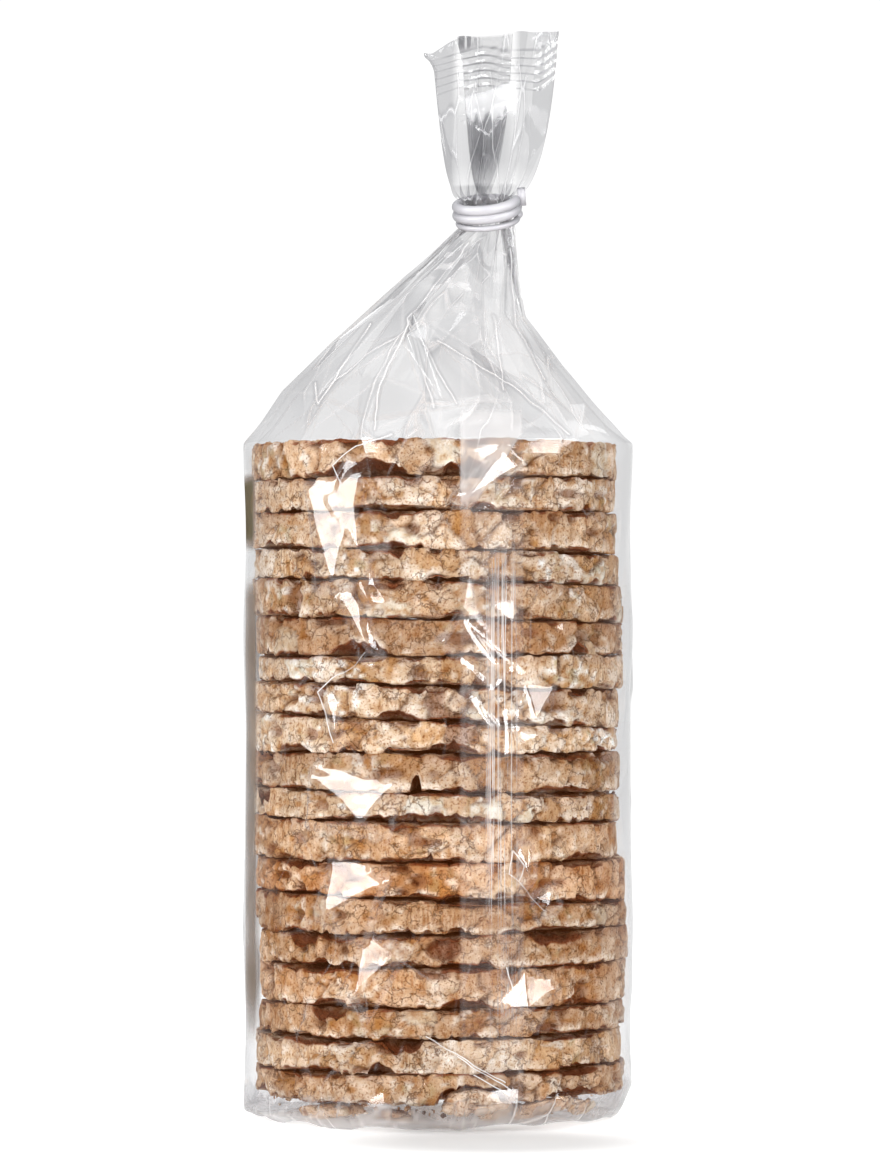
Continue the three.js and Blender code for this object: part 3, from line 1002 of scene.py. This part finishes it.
def turned_tent(across, rise, turn, reach):
    """A tent whose rectangle is turned, at points that are given by their way from its tip."""
    first = across * math.cos(turn) + rise * math.sin(turn)
    second = rise * math.cos(turn) - across * math.sin(turn)
    return tent(first, second, reach)


def wall_relief(angles, heights):
    """How far the wall stands out from its oval: the highest of many low four-sided tents."""
    place = wall_point(angles, heights)
    bend = [value_noise(place, 7 * MM, 90 + k) * MM for k in range(2)]
    along = angles / FULL_TURN * GIRTH + bend[0]
    level_here = heights + bend[1]
    off_rim = smoothstep(STACK_HIGH, STACK_HIGH - 15 * MM, heights)
    relief = 0.3 * MM * (1 + value_noise(place, 16 * MM, 92) * off_rim)
    below_rim = smoothstep(STACK_HIGH, STACK_HIGH - 30 * MM, heights)
    for middle, level, turn, peak, reach in random_dents(np.random.default_rng(DENT_SEED)):
        across = (along - middle + GIRTH / 2) % GIRTH - GIRTH / 2
        relief = np.maximum(relief, peak * turned_tent(across, level_here - level, turn, reach) * below_rim)

    stands = np.zeros(heights.shape)
    cleared = np.zeros(heights.shape)
    for middle, level, turn, peak, reach in placed_dents():
        across = (along - middle + GIRTH / 2) % GIRTH - GIRTH / 2
        height = turned_tent(across, level_here - level, turn, reach)
        inside = smoothstep(0, 0.12, height)
        stands = np.maximum(stands, peak * height + across**2 / (2 * WALL_HALF_X) * inside)
        cleared = np.maximum(cleared, inside)
    relief = np.maximum(relief * (1 - cleared), stands)
    loose = 0.5 * MM * value_noise(heights[..., None], 24 * MM, 93) * np.cos(angles) ** 4
    return relief * (1 - 0.6 * np.cos(angles) ** 8) + loose


def base_and_wall(angles):
    """The film from the middle of the base up to the stack's rim."""
    corner = CORNER_HEIGHT + CORNER_LIFT * np.cos(angles)
    rows = [wall_point(angles, lift * MM, -inset * MM) for inset, lift in BASE_RINGS]
    for share in (0.0, 0.25, 0.5, 0.75):
        level = BASE_LIFT + (corner - BASE_LIFT) * share**1.5
        rows.append(wall_point(angles, level, -FOOT_INSET * (1 - share) ** 1.3))
    base = np.stack(rows)
    large, small = (value_noise(base * np.array([1, 1, 2]), size * MM, 70) for size in (14, 6))
    crumpled = base[..., 2] + 1.6 * MM * np.abs(large) + 0.4 * MM * small
    base[..., 2] = np.maximum(crumpled, BASE_LOW)
    levels = (np.linspace(0, 1, ROWS_WALL) ** 0.95)[:, None]
    heights = corner * (1 - levels) + STACK_HIGH * levels
    around = np.broadcast_to(angles, heights.shape)
    return np.concatenate([base, wall_point(around, heights, wall_relief(around, heights))])


def directions(points):
    """For each point, the ways outward, upward along the film, and sideways around it."""
    outward = points - points.mean(axis=1, keepdims=True)
    outward /= np.linalg.norm(outward, axis=2, keepdims=True)
    upward = np.gradient(points, axis=0)
    upward /= np.linalg.norm(upward, axis=2, keepdims=True)
    return outward, upward, np.cross(upward, outward)


def corner_net(smooth, ways, angles, rng):
    """The shoulders' net of facet corners, moved about at random, and those placed at the front."""
    rows = [round(level * (ROWS_SHOULDER - 1)) for level in NET_LEVELS]
    columns = np.arange(NET_COLUMNS) * len(angles) // NET_COLUMNS
    net = smooth[rows][:, columns]
    shape = net.shape[:2]
    free = np.array(NET_FREEDOM)[:, None] * (0.25 + 0.75 * np.sin(angles[columns]) ** 2)[None, :] * MM
    moves = [free * rng.normal(0, 1.3, shape), free * rng.uniform(-6, 6, shape)]
    moves.append(free * rng.uniform(-5, 5, shape) * np.linspace(1, 0.3, shape[0])[:, None])
    for way, move in zip(ways, moves):
        net = net + way[rows][:, columns] * move[..., None]
    for level, column, x, z, rise in FRONT_CORNERS:
        net[level, column] = np.array([x * MM, net[level, column, 1] - rise * MM, z * MM])
    return net


def flat_facets(net, share, count, rng):
    """The two flat triangles in each cell of the net, split along one diagonal or the other."""
    levels = np.array(NET_LEVELS)
    level = np.clip(np.searchsorted(levels, share, side="right") - 1, 0, len(levels) - 2)
    up = ((share - levels[level]) / (levels[level + 1] - levels[level]))[:, None, None]
    cell = np.arange(count) * NET_COLUMNS / count
    first = np.floor(cell).astype(int)
    across = (cell - first)[None, :, None]
    after = (first + 1) % NET_COLUMNS
    corners = [net[level + j][:, side] for j in (0, 1) for side in (first, after)]
    rising = (rng.random((len(levels), NET_COLUMNS)) < 0.5)[level][:, first][..., None]
    near = corners[0] * (1 - across - up) + corners[1] * across + corners[2] * up
    far = corners[3] * (across + up - 1) + corners[2] * (1 - across) + corners[1] * (1 - up)
    falling = np.where(across + up < 1, near, far)
    near = corners[0] * (1 - across) + corners[1] * (across - up) + corners[3] * up
    far = corners[0] * (1 - up) + corners[2] * (up - across) + corners[3] * across
    return np.where(rising, np.where(across > up, near, far), falling)


def shoulders(rim):
    """The film from the rim to the neck: flat facets between creases, and pleats near the neck."""
    angles = evenly_around(len(rim))
    curves = np.stack([shoulder_point(angles, t) for t in np.linspace(0, 1, CURVE_STEPS)])
    smooth = even_rows(curves, ROWS_SHOULDER)
    ways = directions(smooth)
    outward = ways[0]
    rng = np.random.default_rng(NET_SEED)
    share = np.linspace(0, 1, ROWS_SHOULDER)
    facets = flat_facets(corner_net(smooth, ways, angles, rng), share, len(rim), rng)

    facets = facets + outward * (0.6 * MM * value_noise(facets, 14 * MM, 44))[..., None]
    to_left = smoothstep(0.3, -0.8, np.cos(angles))[None, :]
    climb = smoothstep(0.5, 1.0, share)[:, None] * (1 - 0.6 * to_left * smoothstep(1.0, 0.88, share)[:, None])
    pleats = pleat_wave(angles[None, :] + 0.1 * value_noise(facets, 20 * MM, 45)) - 0.6
    facets = facets + outward * (1.5 * MM * climb * pleats)[..., None]
    settle = smoothstep(0.0, 0.1, share)[:, None, None]
    smooth = smooth + (rim - smooth[0])[None] * (1 - settle)
    return smooth * (1 - settle) + facets * settle


def tail_ring(angles, share):
    """The flattened tube's folded section, bundled at share 0 and spread at share 1."""
    folds = np.array(TAIL_FOLDS) * MM
    lengths = np.abs(np.diff(folds))
    marks = np.concatenate([[0], np.cumsum(lengths)]) / lengths.sum()
    front = angles > math.pi
    ribbon = np.where(front, angles / math.pi - 1, 1 - angles / math.pi)
    x = np.interp(ribbon, marks, folds)
    y = np.interp(ribbon, marks, np.linspace(0.5, -0.5, len(folds))) * TAIL_DEPTH
    y = y + np.where(front, -0.35, 0.35) * MM * np.sin(np.pi * ribbon) ** 0.3
    bundle = circle(angles) * NECK_RADIUS * pleated(angles)[:, None]
    spread = share**0.36
    flat = np.stack([x, y], axis=-1) * spread + bundle * (1 - spread)
    start = NECK + NECK_AXES[2] * NECK_ABOVE
    handle = start + NECK_AXES[2] * TAIL_STRAIGHT + np.array([3.5 * MM, 0, 0])
    middle = start * (1 - share) ** 2 + handle * 2 * share * (1 - share) + TAIL_TOP * share**2
    local = np.concatenate([flat, np.zeros((len(angles), 1))], axis=1)
    return middle + local @ turned(NECK_LEAN * (1 - share), NECK_ROLL)


def dent_tail(tail):
    """Random dents in the tail and the one deep fold in its middle."""
    rng = np.random.default_rng(TAIL_SEED)
    for _ in range(TAIL_DENTS):
        middle = np.array([rng.uniform(-3, 31), rng.uniform(234, 260)]) * MM
        turn = rng.normal(0, 0.6)
        across, rise = np.moveaxis(tail[..., [0, 2]] - middle, -1, 0)
        reach = rng.uniform([2, 2, 4, 4], [8, 8, 16, 16]) * MM
        tail[..., 1] += rng.uniform(-1.2, 1.2) * MM * turned_tent(across, rise, turn, reach)
    across = tail[..., 0] - 12.5 * MM
    rise = tail[..., 2] - 246 * MM - 0.25 * across
    tail[..., 1] -= 3.2 * MM * tent(across, rise, (8 * MM, 8 * MM, 15 * MM, 7 * MM))


def press_seal(tail):
    """Presses the seal's ribs into the tail's top, ruffles its cut edge and folds its corner down.
    Gives each point's place across the ribs, how strong they are there, and where the teeth are."""
    steps = np.linalg.norm(np.diff(tail, axis=0), axis=2).mean(axis=1)
    from_top = np.concatenate([np.cumsum(steps[::-1])[::-1], [0]])[:, None]
    x = tail[..., 0]
    flat = np.stack([x, 0 * x], axis=-1)
    dent_tail(tail)
    drift = value_noise(flat, 6 * MM, 60) * 0.8 * MM - 0.09 * (x - 14 * MM)
    drift += 3 * MM * smoothstep(24 * MM, 31 * MM, x) - 2 * MM * smoothstep(6 * MM, 0, x)
    phase = (from_top + drift - SEAL_FROM) / SEAL_PITCH
    inside = smoothstep(-0.3, 0, phase) * smoothstep(SEAL_RIBS + 0.3, SEAL_RIBS, phase)
    tail[..., 1] -= 0.12 * MM * inside * np.cos(FULL_TURN * phase)
    faint = inside * (0.65 + 0.35 * value_noise(flat, 5 * MM, 64)) * smoothstep(30 * MM, 25 * MM, x)

    edge = smoothstep(SEAL_FROM, 0, from_top)
    ruffle = value_noise(flat, 1.6 * MM, 61) * smoothstep(12 * MM, 4 * MM, x) + value_noise(flat, 4 * MM, 62)
    tail[..., 1] -= MM * edge * ruffle
    tail[..., 2] += edge * (1.3 * MM * value_noise(flat, 5 * MM, 63) - 0.8 * MM)
    corner = smoothstep(10 * MM, 0, x) * smoothstep(9 * MM, 0, from_top)
    tail[..., 0] -= 1.8 * MM * corner
    tail[..., 2] -= 2.6 * MM * corner
    teeth = smoothstep(11 * MM, 8 * MM, x) * smoothstep(4.2 * MM, 3 * MM, from_top)
    teeth = teeth * (tail[..., 1] < TAIL_TOP[1])
    return np.stack([np.clip(phase, 0, 9.9) / 10, np.maximum(faint, teeth), teeth], axis=-1)


def neck_and_tail(angles):
    """The film through the tie and above it, with where the seal's ribs are."""
    heights = np.linspace(-NECK_HALF, NECK_ABOVE, ROWS_NECK + 1)[1:, None]
    neck = NECK + around_axis(angles, pleated(angles) * NECK_RADIUS, heights) @ NECK_AXES
    shares = np.linspace(0, 1, CURVE_STEPS) ** 1.6
    tail = even_rows(np.stack([tail_ring(angles, t) for t in shares]), ROWS_TAIL + 1)[1:]
    seal = press_seal(tail)
    return np.concatenate([neck, tail]), np.concatenate([np.zeros(neck.shape), seal])


def tie_material():
    """White plastic-coated wire, a little grey where it turns away: painted shade."""
    n = new_material("tie_coating")
    # Painted shade where the wire turns away.
    facing = n.add("LayerWeight", {"Blend": 0.5}, "Facing")
    shade = n.ramp(facing, (0.25, (0.53, 0.52, 0.55)), (0.8, (0.28, 0.28, 0.30)))
    grain = n.noise(n.place(), 420.0, 3.0)
    shade = n.mix(grain * 0.25, shade, (0.42, 0.42, 0.45))
    coat = {"Base Color": shade, "Roughness": 0.45, "Normal": n.bump(grain, 0.3, 0.0003)}
    return n.finish(n.add("BsdfPrincipled", coat))


def tube(path, radius, sides):
    """Rings of points round a path, with rounded ends."""
    ahead = np.gradient(path, axis=0)
    ahead /= np.linalg.norm(ahead, axis=1, keepdims=True)
    first = np.cross(ahead, np.array([0.0, 0.0, 1.0]))
    first /= np.linalg.norm(first, axis=1, keepdims=True)
    second = np.cross(first, ahead)
    across, up = circle(evenly_around(sides)).T
    ring = first[:, None] * across[None, :, None] + second[:, None] * up[None, :, None]
    return path[:, None] + ring * radius[:, None, None]


def make_tie(material):
    """Two thick turns of coated wire, a thin one under them, and the end folded up on the right."""
    points, faces = [], []
    for number, (thick, coil, first, last, low, high) in enumerate(TIE_TURNS):
        turns = np.linspace(first, last, TIE_STEPS) * FULL_TURN
        climb = np.linspace(low, high, TIE_STEPS) * MM
        reach = coil * MM + 0.15 * MM * value_noise(turns[:, None], 1.3, 80 + number)
        path = NECK + around_axis(turns, reach, climb) @ NECK_AXES
        steps = np.arange(TIE_STEPS)
        rounded = np.sqrt(np.clip(np.minimum(steps, steps[::-1]) / 4, 0.02, 1))
        rings = tube(path, thick * MM * rounded, TIE_SIDES)
        points.append(rings.reshape(-1, 3))
        faces.append(ring_grid(TIE_STEPS, TIE_SIDES) + number * TIE_STEPS * TIE_SIDES)
    tab = np.array(list(np.ndindex(2, 2, 2))) * 2 - 1
    points.append(NECK + (tab * np.array(TIE_TAB_HALF) + np.array(TIE_TAB_PLACE)) * MM @ NECK_AXES)
    sides = [[0, 1, 3, 2], [4, 6, 7, 5], [0, 4, 5, 1], [2, 3, 7, 6], [0, 2, 6, 4], [1, 5, 7, 3]]
    faces.append(np.array(sides) + len(TIE_TURNS) * TIE_STEPS * TIE_SIDES)
    return new_piece("tie_coil", np.concatenate(points), np.concatenate(faces), material, "tie_coating")


def film_facets(n, loose):
    """A net of flat facets in the film: the creases between them, whitened partly as painted highlights,
    a line of painted shade along these, each facet's own tone, and its lean. Also how faded the creases
    are from place to place."""
    sheet = n.add("Attribute", {}, "Vector", attribute_name="sheet")
    spread = n.stretched(n.wavy(sheet, 40.0, 1.0, 0.5, 0.008), 1.0, 1.0, 0.4)
    net = {"Vector": spread, "Scale": 62.0}
    middle, colour = n.several("TexVoronoi", net, "Position", "Color")
    edge = n.add("TexVoronoi", net, "Distance", feature="DISTANCE_TO_EDGE")
    faded = n.noise(sheet, 55.0, 1.0)
    where = n.ramp(faded, (0.45, 0), (0.62, 1))
    crease = n.ramp(edge, (0.0, 1), (0.016, 0)) * where * (loose * 0.5 + 0.12)
    shade_along_creases = n.ramp(edge, (0.014, 0), (0.024, 1), (0.06, 0)) * where * 0.35 * loose
    lean = n.vector("SUBTRACT", colour, (0.5, 0.5, 0.5))
    slope = n.vector("DOT_PRODUCT", n.vector("SUBTRACT", spread, middle), lean, "Value") * loose
    return crease, shade_along_creases, n.channels(colour)[1], n.bump(slope, 1.0, 0.5), faded


def sharp_creases(n, place, in_front):
    """A painted highlight along each sharp crease at the front, and a band of painted shade next to it."""
    upfront = n.stretched(place, 1.0, 0.0, 1.0)
    upfront = n.stretched(n.wavy(upfront, 160.0, 1.0, 0.5, 0.0016), 1.0, 0.0, 1.0)
    away = 1.0
    for crease in CREASES + WALL_CREASES:
        start, end = ((x * MM, 0.0, z * MM) for x, z in crease)
        away = n.math("MINIMUM", n.distance_to_line(upfront, start, end), away)
    away = away * (1 / MM)
    bright = n.ramp(away, (0.06, 1), (0.2, 0)) * in_front
    shade_by_sharp_creases = n.ramp(away, (0.15, 0), (0.35, 1), (1.0, 0)) * in_front
    return bright, shade_by_sharp_creases


def seam_highlight_streaks(n, place):
    """Upright painted highlights in thin streaks along the film's seam."""
    upright = n.stretched(place, 760.0, 0.0, 5.0)
    ridges = ((0.39, 0), (0.42, 1), (0.45, 0), (0.47, 0), (0.5, 1), (0.53, 0), (0.56, 1), (0.6, 0))
    return n.ramp(n.noise(upright, 1.0, 2.0), *ridges)


def seal_rib_shade(n, place):
    """How much the seal dims the film: painted shade along its ribs, and the comb of teeth at the tail's
    left corner. Also whether the film is at the front and clear of both."""
    tenth, ribbed, front = n.painted("seal")
    phase = n.math("PINGPONG", tenth * 10.0, 0.5)
    ribs = n.ramp(phase, (0.0, 1), (0.13, 0)) * ribbed * (1.0 - front)
    combed = n.stretched(place, 1500.0, 0.0, 90.0)
    tooth = n.ramp(n.noise(combed, 1.0, 1.0), (0.42, 0), (0.52, 1))
    pleats = tooth * (front * ribbed)
    return ribs * 0.55 + pleats * 0.5, front * (1.0 - ribbed)


def film_material():
    """Clear film: it dims and greys with the number of layers, and whitens along creases, partly as
    painted highlights; painted shade darkens it in places.
    """
    n = new_material("clear_film")
    place = n.place()
    layers, haze, gloss = n.painted("film")
    seam, loose, left_edge_shade = n.painted("place")
    facing = n.add("LayerWeight", {"Blend": 0.5}, "Facing")
    crease, shade_along_creases, tone, bump, faded = film_facets(n, loose)
    ribs, in_front = seal_rib_shade(n, place)
    bright, shade_by_sharp_creases = sharp_creases(n, place, in_front)

    thicker = facing**2.5 * (0.68 - loose * 0.38)
    # Facets' own tone, and painted shade along the creases, change how dark the film is.
    uneven = (tone - 0.5) * layers + shade_along_creases + shade_by_sharp_creases * 0.4
    density = n.math("ADD", layers + thicker + uneven, ribs, clamp=True)
    clear = n.add("BsdfTransparent", {"Color": n.mix(density, (1.0, 1.0, 1.0), (0.60, 0.60, 0.612))})

    # Painted shade along the film's left edge where it turns away: olive and brown, in a milky layer.
    left_edge_shade = left_edge_shade * n.ramp(facing, (0.5, 0), (0.66, 1))
    brown, olive = (0.2, 0.155, 0.12), (0.14, 0.12, 0.075)
    milky = n.ramp(left_edge_shade, (0.0, (0.95, 0.95, 0.96)), (0.25, brown), (0.6, brown), (0.9, olive))
    milk = n.blend(0.4, n.add("BsdfDiffuse", {"Color": milky}), n.add("BsdfTranslucent", {"Color": milky}))
    covered = n.math("MINIMUM", left_edge_shade * 1.8, 0.86)
    # Painted highlights in the seam and on sharp creases, and whiter creases, partly painted too.
    marks = crease + seam_highlight_streaks(n, place) * seam * 0.7 + bright * n.ramp(faded, (0.35, 0.15), (0.6, 0.9))
    body = n.blend(n.math("ADD", haze + marks, covered, clamp=True), clear, milk)

    shine = {"Color": (1, 1, 1, 1), "Roughness": 0.11 - loose * 0.02, "Normal": bump}
    reflects = facing**5.0 * 0.9 + 0.05
    share = reflects * n.math("SUBTRACT", gloss, left_edge_shade, clamp=True)
    return n.finish(n.blend(share, body, n.add("BsdfGlossy", shine)))


def front_strip(x, z):
    """How much whiter the seam is than the film next to it: a strip with clearer edges, and a painted
    highlight over it at the stack's rim."""
    off_seam = np.abs(x - SEAM_MIDDLE) - SEAM_WIDTH / 2
    strip = 0.05 * (off_seam < 0) + 0.1 * bell(off_seam / (0.4 * MM))
    # The painted highlight at the stack's rim.
    right_edge = 20 * MM - 0.66 * np.maximum(169.7 * MM - z, 0)
    patch = smoothstep(5.2 * MM, 5.8 * MM, x) * smoothstep(0.7 * MM, 0, x - right_edge)
    return strip + 0.34 * patch * band(z, 150, 155, 174, 177)


def seam_streak_bundle(x, z):
    """Where the seam's painted highlight streaks lie close together."""
    middle = 16 * MM + 0.8 * MM * value_noise(z[..., None], 20 * MM, 50)
    bundle = smoothstep(4.5 * MM, 2.5 * MM, np.abs(x - middle)) * band(z, 16, 24, 124, 150)
    return bundle * (0.3 + 0.7 * smoothstep(48 * MM, 68 * MM, z))


def painted_dark_edge(x, z):
    """Where painted shade darkens the film's left edge: above 0.6 olive, and brown below that."""
    olive = band(z, 141, 146, 158, 162) * smoothstep(-45 * MM, -46.5 * MM, x)
    brown = band(z, 16, 30, 129, 137) * band(x, -48.5, -47.8, -45.8, -44.5)
    brown = brown * (1 + 0.3 * value_noise(z[..., None], 9 * MM, 51))
    return np.clip(np.maximum(olive, 0.52 * brown), 0, 1)


def store_sheet(piece, points, start):
    """Stores each point's place on the film as if it were a round tube, for even patterns."""
    steps = np.linalg.norm(np.diff(points, axis=0), axis=2)
    along = np.concatenate([start[None], start + np.cumsum(steps, axis=0)])
    sheet = around_axis(evenly_around(points.shape[1]), GIRTH / FULL_TURN, along)
    layer = piece.data.attributes.new("sheet", "FLOAT_VECTOR", "POINT")
    layer.data.foreach_set("vector", sheet.reshape(-1))


def film_piece(name, points, seal, start, looks, material):
    """One piece of film. Its looks are how much each point dims, how white it is, how it shines, how much
    whiter its creases are, partly as a painted highlight, and how these shine."""
    layers, haze, gloss, crease_haze_and_highlight, crease_gloss = looks
    piece = new_piece(name, points.reshape(-1, 3), ring_grid(len(points), points.shape[1]), material, "film")
    bend = np.linalg.norm(np.roll(points, 1, axis=1) + np.roll(points, -1, axis=1) - 2 * points, axis=2)
    bend[1:-1] += np.linalg.norm(points[2:] + points[:-2] - 2 * points[1:-1], axis=2)
    creased = smoothstep(0.08 * MM, 0.3 * MM, bend)
    x, y, z = np.moveaxis(points, -1, 0)
    in_front = (y < 0) & (z < 200 * MM)
    # Whiter at bent creases, partly as a painted highlight, and in the seam's strip.
    white = haze + crease_haze_and_highlight * creased + front_strip(x, z) * in_front
    paint(piece, "film", layers + 0 * bend, white, gloss + (crease_gloss - gloss) * creased)
    loose = smoothstep(STACK_HIGH - 4 * MM, STACK_HIGH + 4 * MM, z) + smoothstep(12 * MM, 6 * MM, z)
    paint(piece, "place", seam_streak_bundle(x, z) * in_front, loose, painted_dark_edge(x, z))
    paint(piece, "seal", seal)
    store_sheet(piece, points, start)
    return piece


def body_looks(wall):
    """The looks of the film round the stack: clear, but crumpled into many layers at the base."""
    x, y, z = np.moveaxis(wall, -1, 0)
    low = smoothstep(10 * MM, 6.5 * MM, z)
    around = np.broadcast_to(evenly_around(FILM_COLUMNS) * WALL_HALF_X, z.shape)
    flat = np.stack([around, 2 * z + (y + WALL_HALF_Y)], axis=-1)
    folds = [bell(value_noise(flat, size * MM, 75 + k) / 0.14) for k, size in enumerate((7, 5, 11))]
    right_front = smoothstep(-6 * MM, 2 * MM, x) * (y < 0)
    crumpled = 0.42 + 0.25 * value_noise(flat, 9 * MM, 78) + 0.45 * folds[0] + 0.35 * folds[2]
    layers = 0.12 + low * (1 - 0.55 * right_front) * crumpled
    white = 0.06 + 0.3 * folds[1] + 0.25 * smoothstep(4 * MM, 2 * MM, z)
    return layers, low * (1 - 0.4 * right_front) * white, 1.0 - 0.75 * low, 0.12, 1.0


def slanting_fold_shade(x, z):
    """Painted shade in folds that slant down to the right across the front of the right shoulder."""
    slant = math.radians(42)
    right, rise = x - 10 * MM, z - 187 * MM
    across = right * math.sin(slant) + rise * math.cos(slant)
    length = right * math.cos(slant) - rise * math.sin(slant)
    folds = value_noise(np.stack([0.15 * length, across], axis=-1), 1.8 * MM, 81)
    return smoothstep(0.0, 0.3, folds) * bell(length / (11 * MM)) * bell(across / (8 * MM))


def tail_glare(x, z):
    """The painted highlight inside the tail, with a streaked lower edge."""
    streaked = value_noise(np.stack([x, 0.15 * z], axis=-1), 0.8 * MM, 72)
    low_edge = 251 * MM + 0.2 * (x - 12 * MM) + 1.6 * MM * streaked
    high_edge = 257 * MM + 0.35 * (x - 12 * MM)
    glare = smoothstep(-1.5 * MM, 0.6 * MM, z - low_edge) * smoothstep(0.5 * MM, -0.5 * MM, z - high_edge)
    return glare * smoothstep(7.5 * MM, 6.5 * MM, np.abs(x - 12.5 * MM))


def top_looks(upper):
    """The looks of the shoulders, the neck and the tail."""
    x, y, z = np.moveaxis(upper, -1, 0)
    rows = np.arange(len(upper))[:, None]
    in_shoulder = rows < ROWS_SHOULDER
    neck_end = ROWS_SHOULDER + ROWS_NECK
    in_tail = rows > neck_end
    levels = [0, 0.75 * ROWS_SHOULDER, ROWS_SHOULDER, neck_end, neck_end + 14]
    layers, haze, gloss, crease_haze_and_highlight = (
        np.interp(rows, levels, values)
        for values in (
            (0.29, 0.44, 0.32, 0.3, 0.64),
            (0.01, 0.02, 0.03, 0.01, 0.01),
            (0.4, 0.4, 0.45, 0.15, 0.15),
            (0.2, 0.2, 0.1, 0.03, 0.03),
        )
    )
    layers = layers + 0.14 * value_noise(upper, 13 * MM, 73) * in_shoulder
    layers -= 0.12 * smoothstep(14 * MM, 24 * MM, x) * in_shoulder
    layers -= 0.25 * smoothstep(17 * MM, 21 * MM, x) * smoothstep(192 * MM, 202 * MM, z)
    in_front = (y < 0) * in_shoulder
    # Painted shade in patches under the neck, with painted glints.
    under_neck = bell(np.hypot((x - 7 * MM) / (8 * MM), (z - 211 * MM) / (11 * MM))) * in_front
    layers += 0.6 * under_neck * smoothstep(-0.1, 0.15, value_noise(upper, 4.5 * MM, 79))
    glints = 0.5 * under_neck * smoothstep(0.3, 0.4, value_noise(upper, 3 * MM, 80))
    layers += 0.3 * slanting_fold_shade(x, z) * in_front

    folded = smoothstep(9 * MM, 6.5 * MM, np.abs(x - 12 * MM)) * (z > 234 * MM)
    layers -= folded * (0.3 + 0.22 * smoothstep(250 * MM, 256 * MM, z))
    # Painted shade on the tail's dark middle facet.
    layers += 0.19 * bell(np.hypot((x - 12.3 * MM) / (6 * MM), (z - 243 * MM) / (10 * MM))) * in_tail
    glare = tail_glare(x, z) * (in_tail & (y < TAIL_TOP[1] + 2 * MM))
    return layers, haze + 0.4 * glare + glints, gloss, crease_haze_and_highlight, 0.6


def make_film(material):
    """The film in two pieces, which meet at the stack's rim."""
    angles = evenly_around(FILM_COLUMNS)
    wall = base_and_wall(angles)
    front = np.zeros(wall.shape)
    front[..., 2] = smoothstep(0.2, -0.1, np.sin(angles))[None, :]
    body = film_piece("film_body", wall, front, np.zeros(FILM_COLUMNS), body_looks(wall), material)
    above, seal = neck_and_tail(angles)
    upper = np.concatenate([shoulders(wall[-1]), above])
    seal = np.concatenate([front[:ROWS_SHOULDER], seal])
    start = np.linalg.norm(np.diff(wall, axis=0), axis=2).sum(axis=0)
    return body, film_piece("film_top", upper, seal, start, top_looks(upper), material)


# ---------------------------------------------------------------- stage


def make_stage():
    """A wide white floor, which nothing mirrors."""
    half = 6.0
    corners = [(-half, -half, 0), (half, -half, 0), (half, half, 0), (-half, half, 0)]
    mesh = bpy.data.meshes.new("floor")
    mesh.from_pydata(corners, [], [(0, 1, 2, 3)])
    mesh.materials.append(floor_material())
    floor = new_object("floor", mesh)
    floor.visible_glossy = False


def look_at(thing, target):
    direction = target - np.array(thing.location)
    azimuth = math.atan2(direction[0], direction[1])
    rise = math.atan2(direction[2], math.hypot(direction[0], direction[1]))
    thing.rotation_euler = (math.pi / 2 + rise, 0, -azimuth)


def make_camera():
    lens = bpy.data.cameras.new("camera")
    lens.lens = 153.0
    lens.sensor_fit = "VERTICAL"
    lens.sensor_height = 36.0
    lens.clip_start = 0.05
    camera = new_object("camera", lens)
    camera.location = (0.0005, -1.25, 0.120)
    look_at(camera, np.array([0.0005, 0.0, 0.1337]))
    bpy.context.scene.camera = camera


def softbox(name, place, target, size, power):
    light = bpy.data.lights.new(name, "AREA")
    light.shape = "RECTANGLE"
    light.size, light.size_y = size
    light.energy = power
    lamp = new_object(name, light)
    lamp.location = place
    look_at(lamp, np.array(target))
    return lamp


def make_world():
    """White behind the object, plain light on it, and for its reflections a room that is dark
    behind the camera and bright beyond the object."""
    n = Nodes(bpy.data.worlds.new("studio"))
    mirrored, seen = n.several("LightPath", {}, "Is Glossy Ray", "Is Camera Ray")
    beyond = n.add("SeparateXYZ", {0: n.add("TexCoord", {}, "Generated")}, "Y")
    limits = {"Value": beyond, "From Min": 0.2, "From Max": 1.0, "To Min": 0.02, "To Max": 1.0}
    strengths = (0.55, n.add("MapRange", limits), 1.05)
    plain, room, white = (n.add("Background", {"Color": (1, 1, 1, 1), "Strength": s}) for s in strengths)
    shown = n.blend(seen, n.blend(mirrored, plain, room), white)
    bpy.context.scene.world = n.finish(shown, "OutputWorld")


def make_lights():
    """Soft light from the left, the right and above, with the bright panels that the film mirrors."""
    softbox("key", (-0.7, -1.05, 0.6), (0, 0, 0.12), (0.6, 0.8), 11).visible_glossy = False
    softbox("fill", (0.75, -1.15, 0.6), (0, 0, 0.12), (0.4, 0.6), 7).visible_glossy = False
    softbox("top", (0.0, 0.2, 1.3), (0, 0, 0.1), (1.2, 1.2), 12)
    softbox("key_panel", (-0.95, -0.71, 0.62), (0, 0, 0.12), (0.8, 0.72), 25).visible_diffuse = False
    softbox("fill_panel", (0.71, -1.09, 0.57), (0, 0, 0.12), (0.5, 0.75), 20).visible_diffuse = False
    softbox("side_panel", (1.16, -0.58, 0.57), (0, 0, 0.12), (0.4, 0.62), 9).visible_diffuse = False


make_camera()
make_world()
make_lights()
make_stage()
cake = cake_material()
for contents in make_stack(cake) + make_broken(cake):
    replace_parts(contents, "bag")
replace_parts(make_tie(tie_material()), "tie")
for film in make_film(film_material()):
    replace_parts(film, "bag")

view = bpy.context.scene.view_settings
view.view_transform = "Standard"
if hasattr(bpy.context.scene, "cycles"):
    bpy.context.scene.cycles.transparent_max_bounces = 48
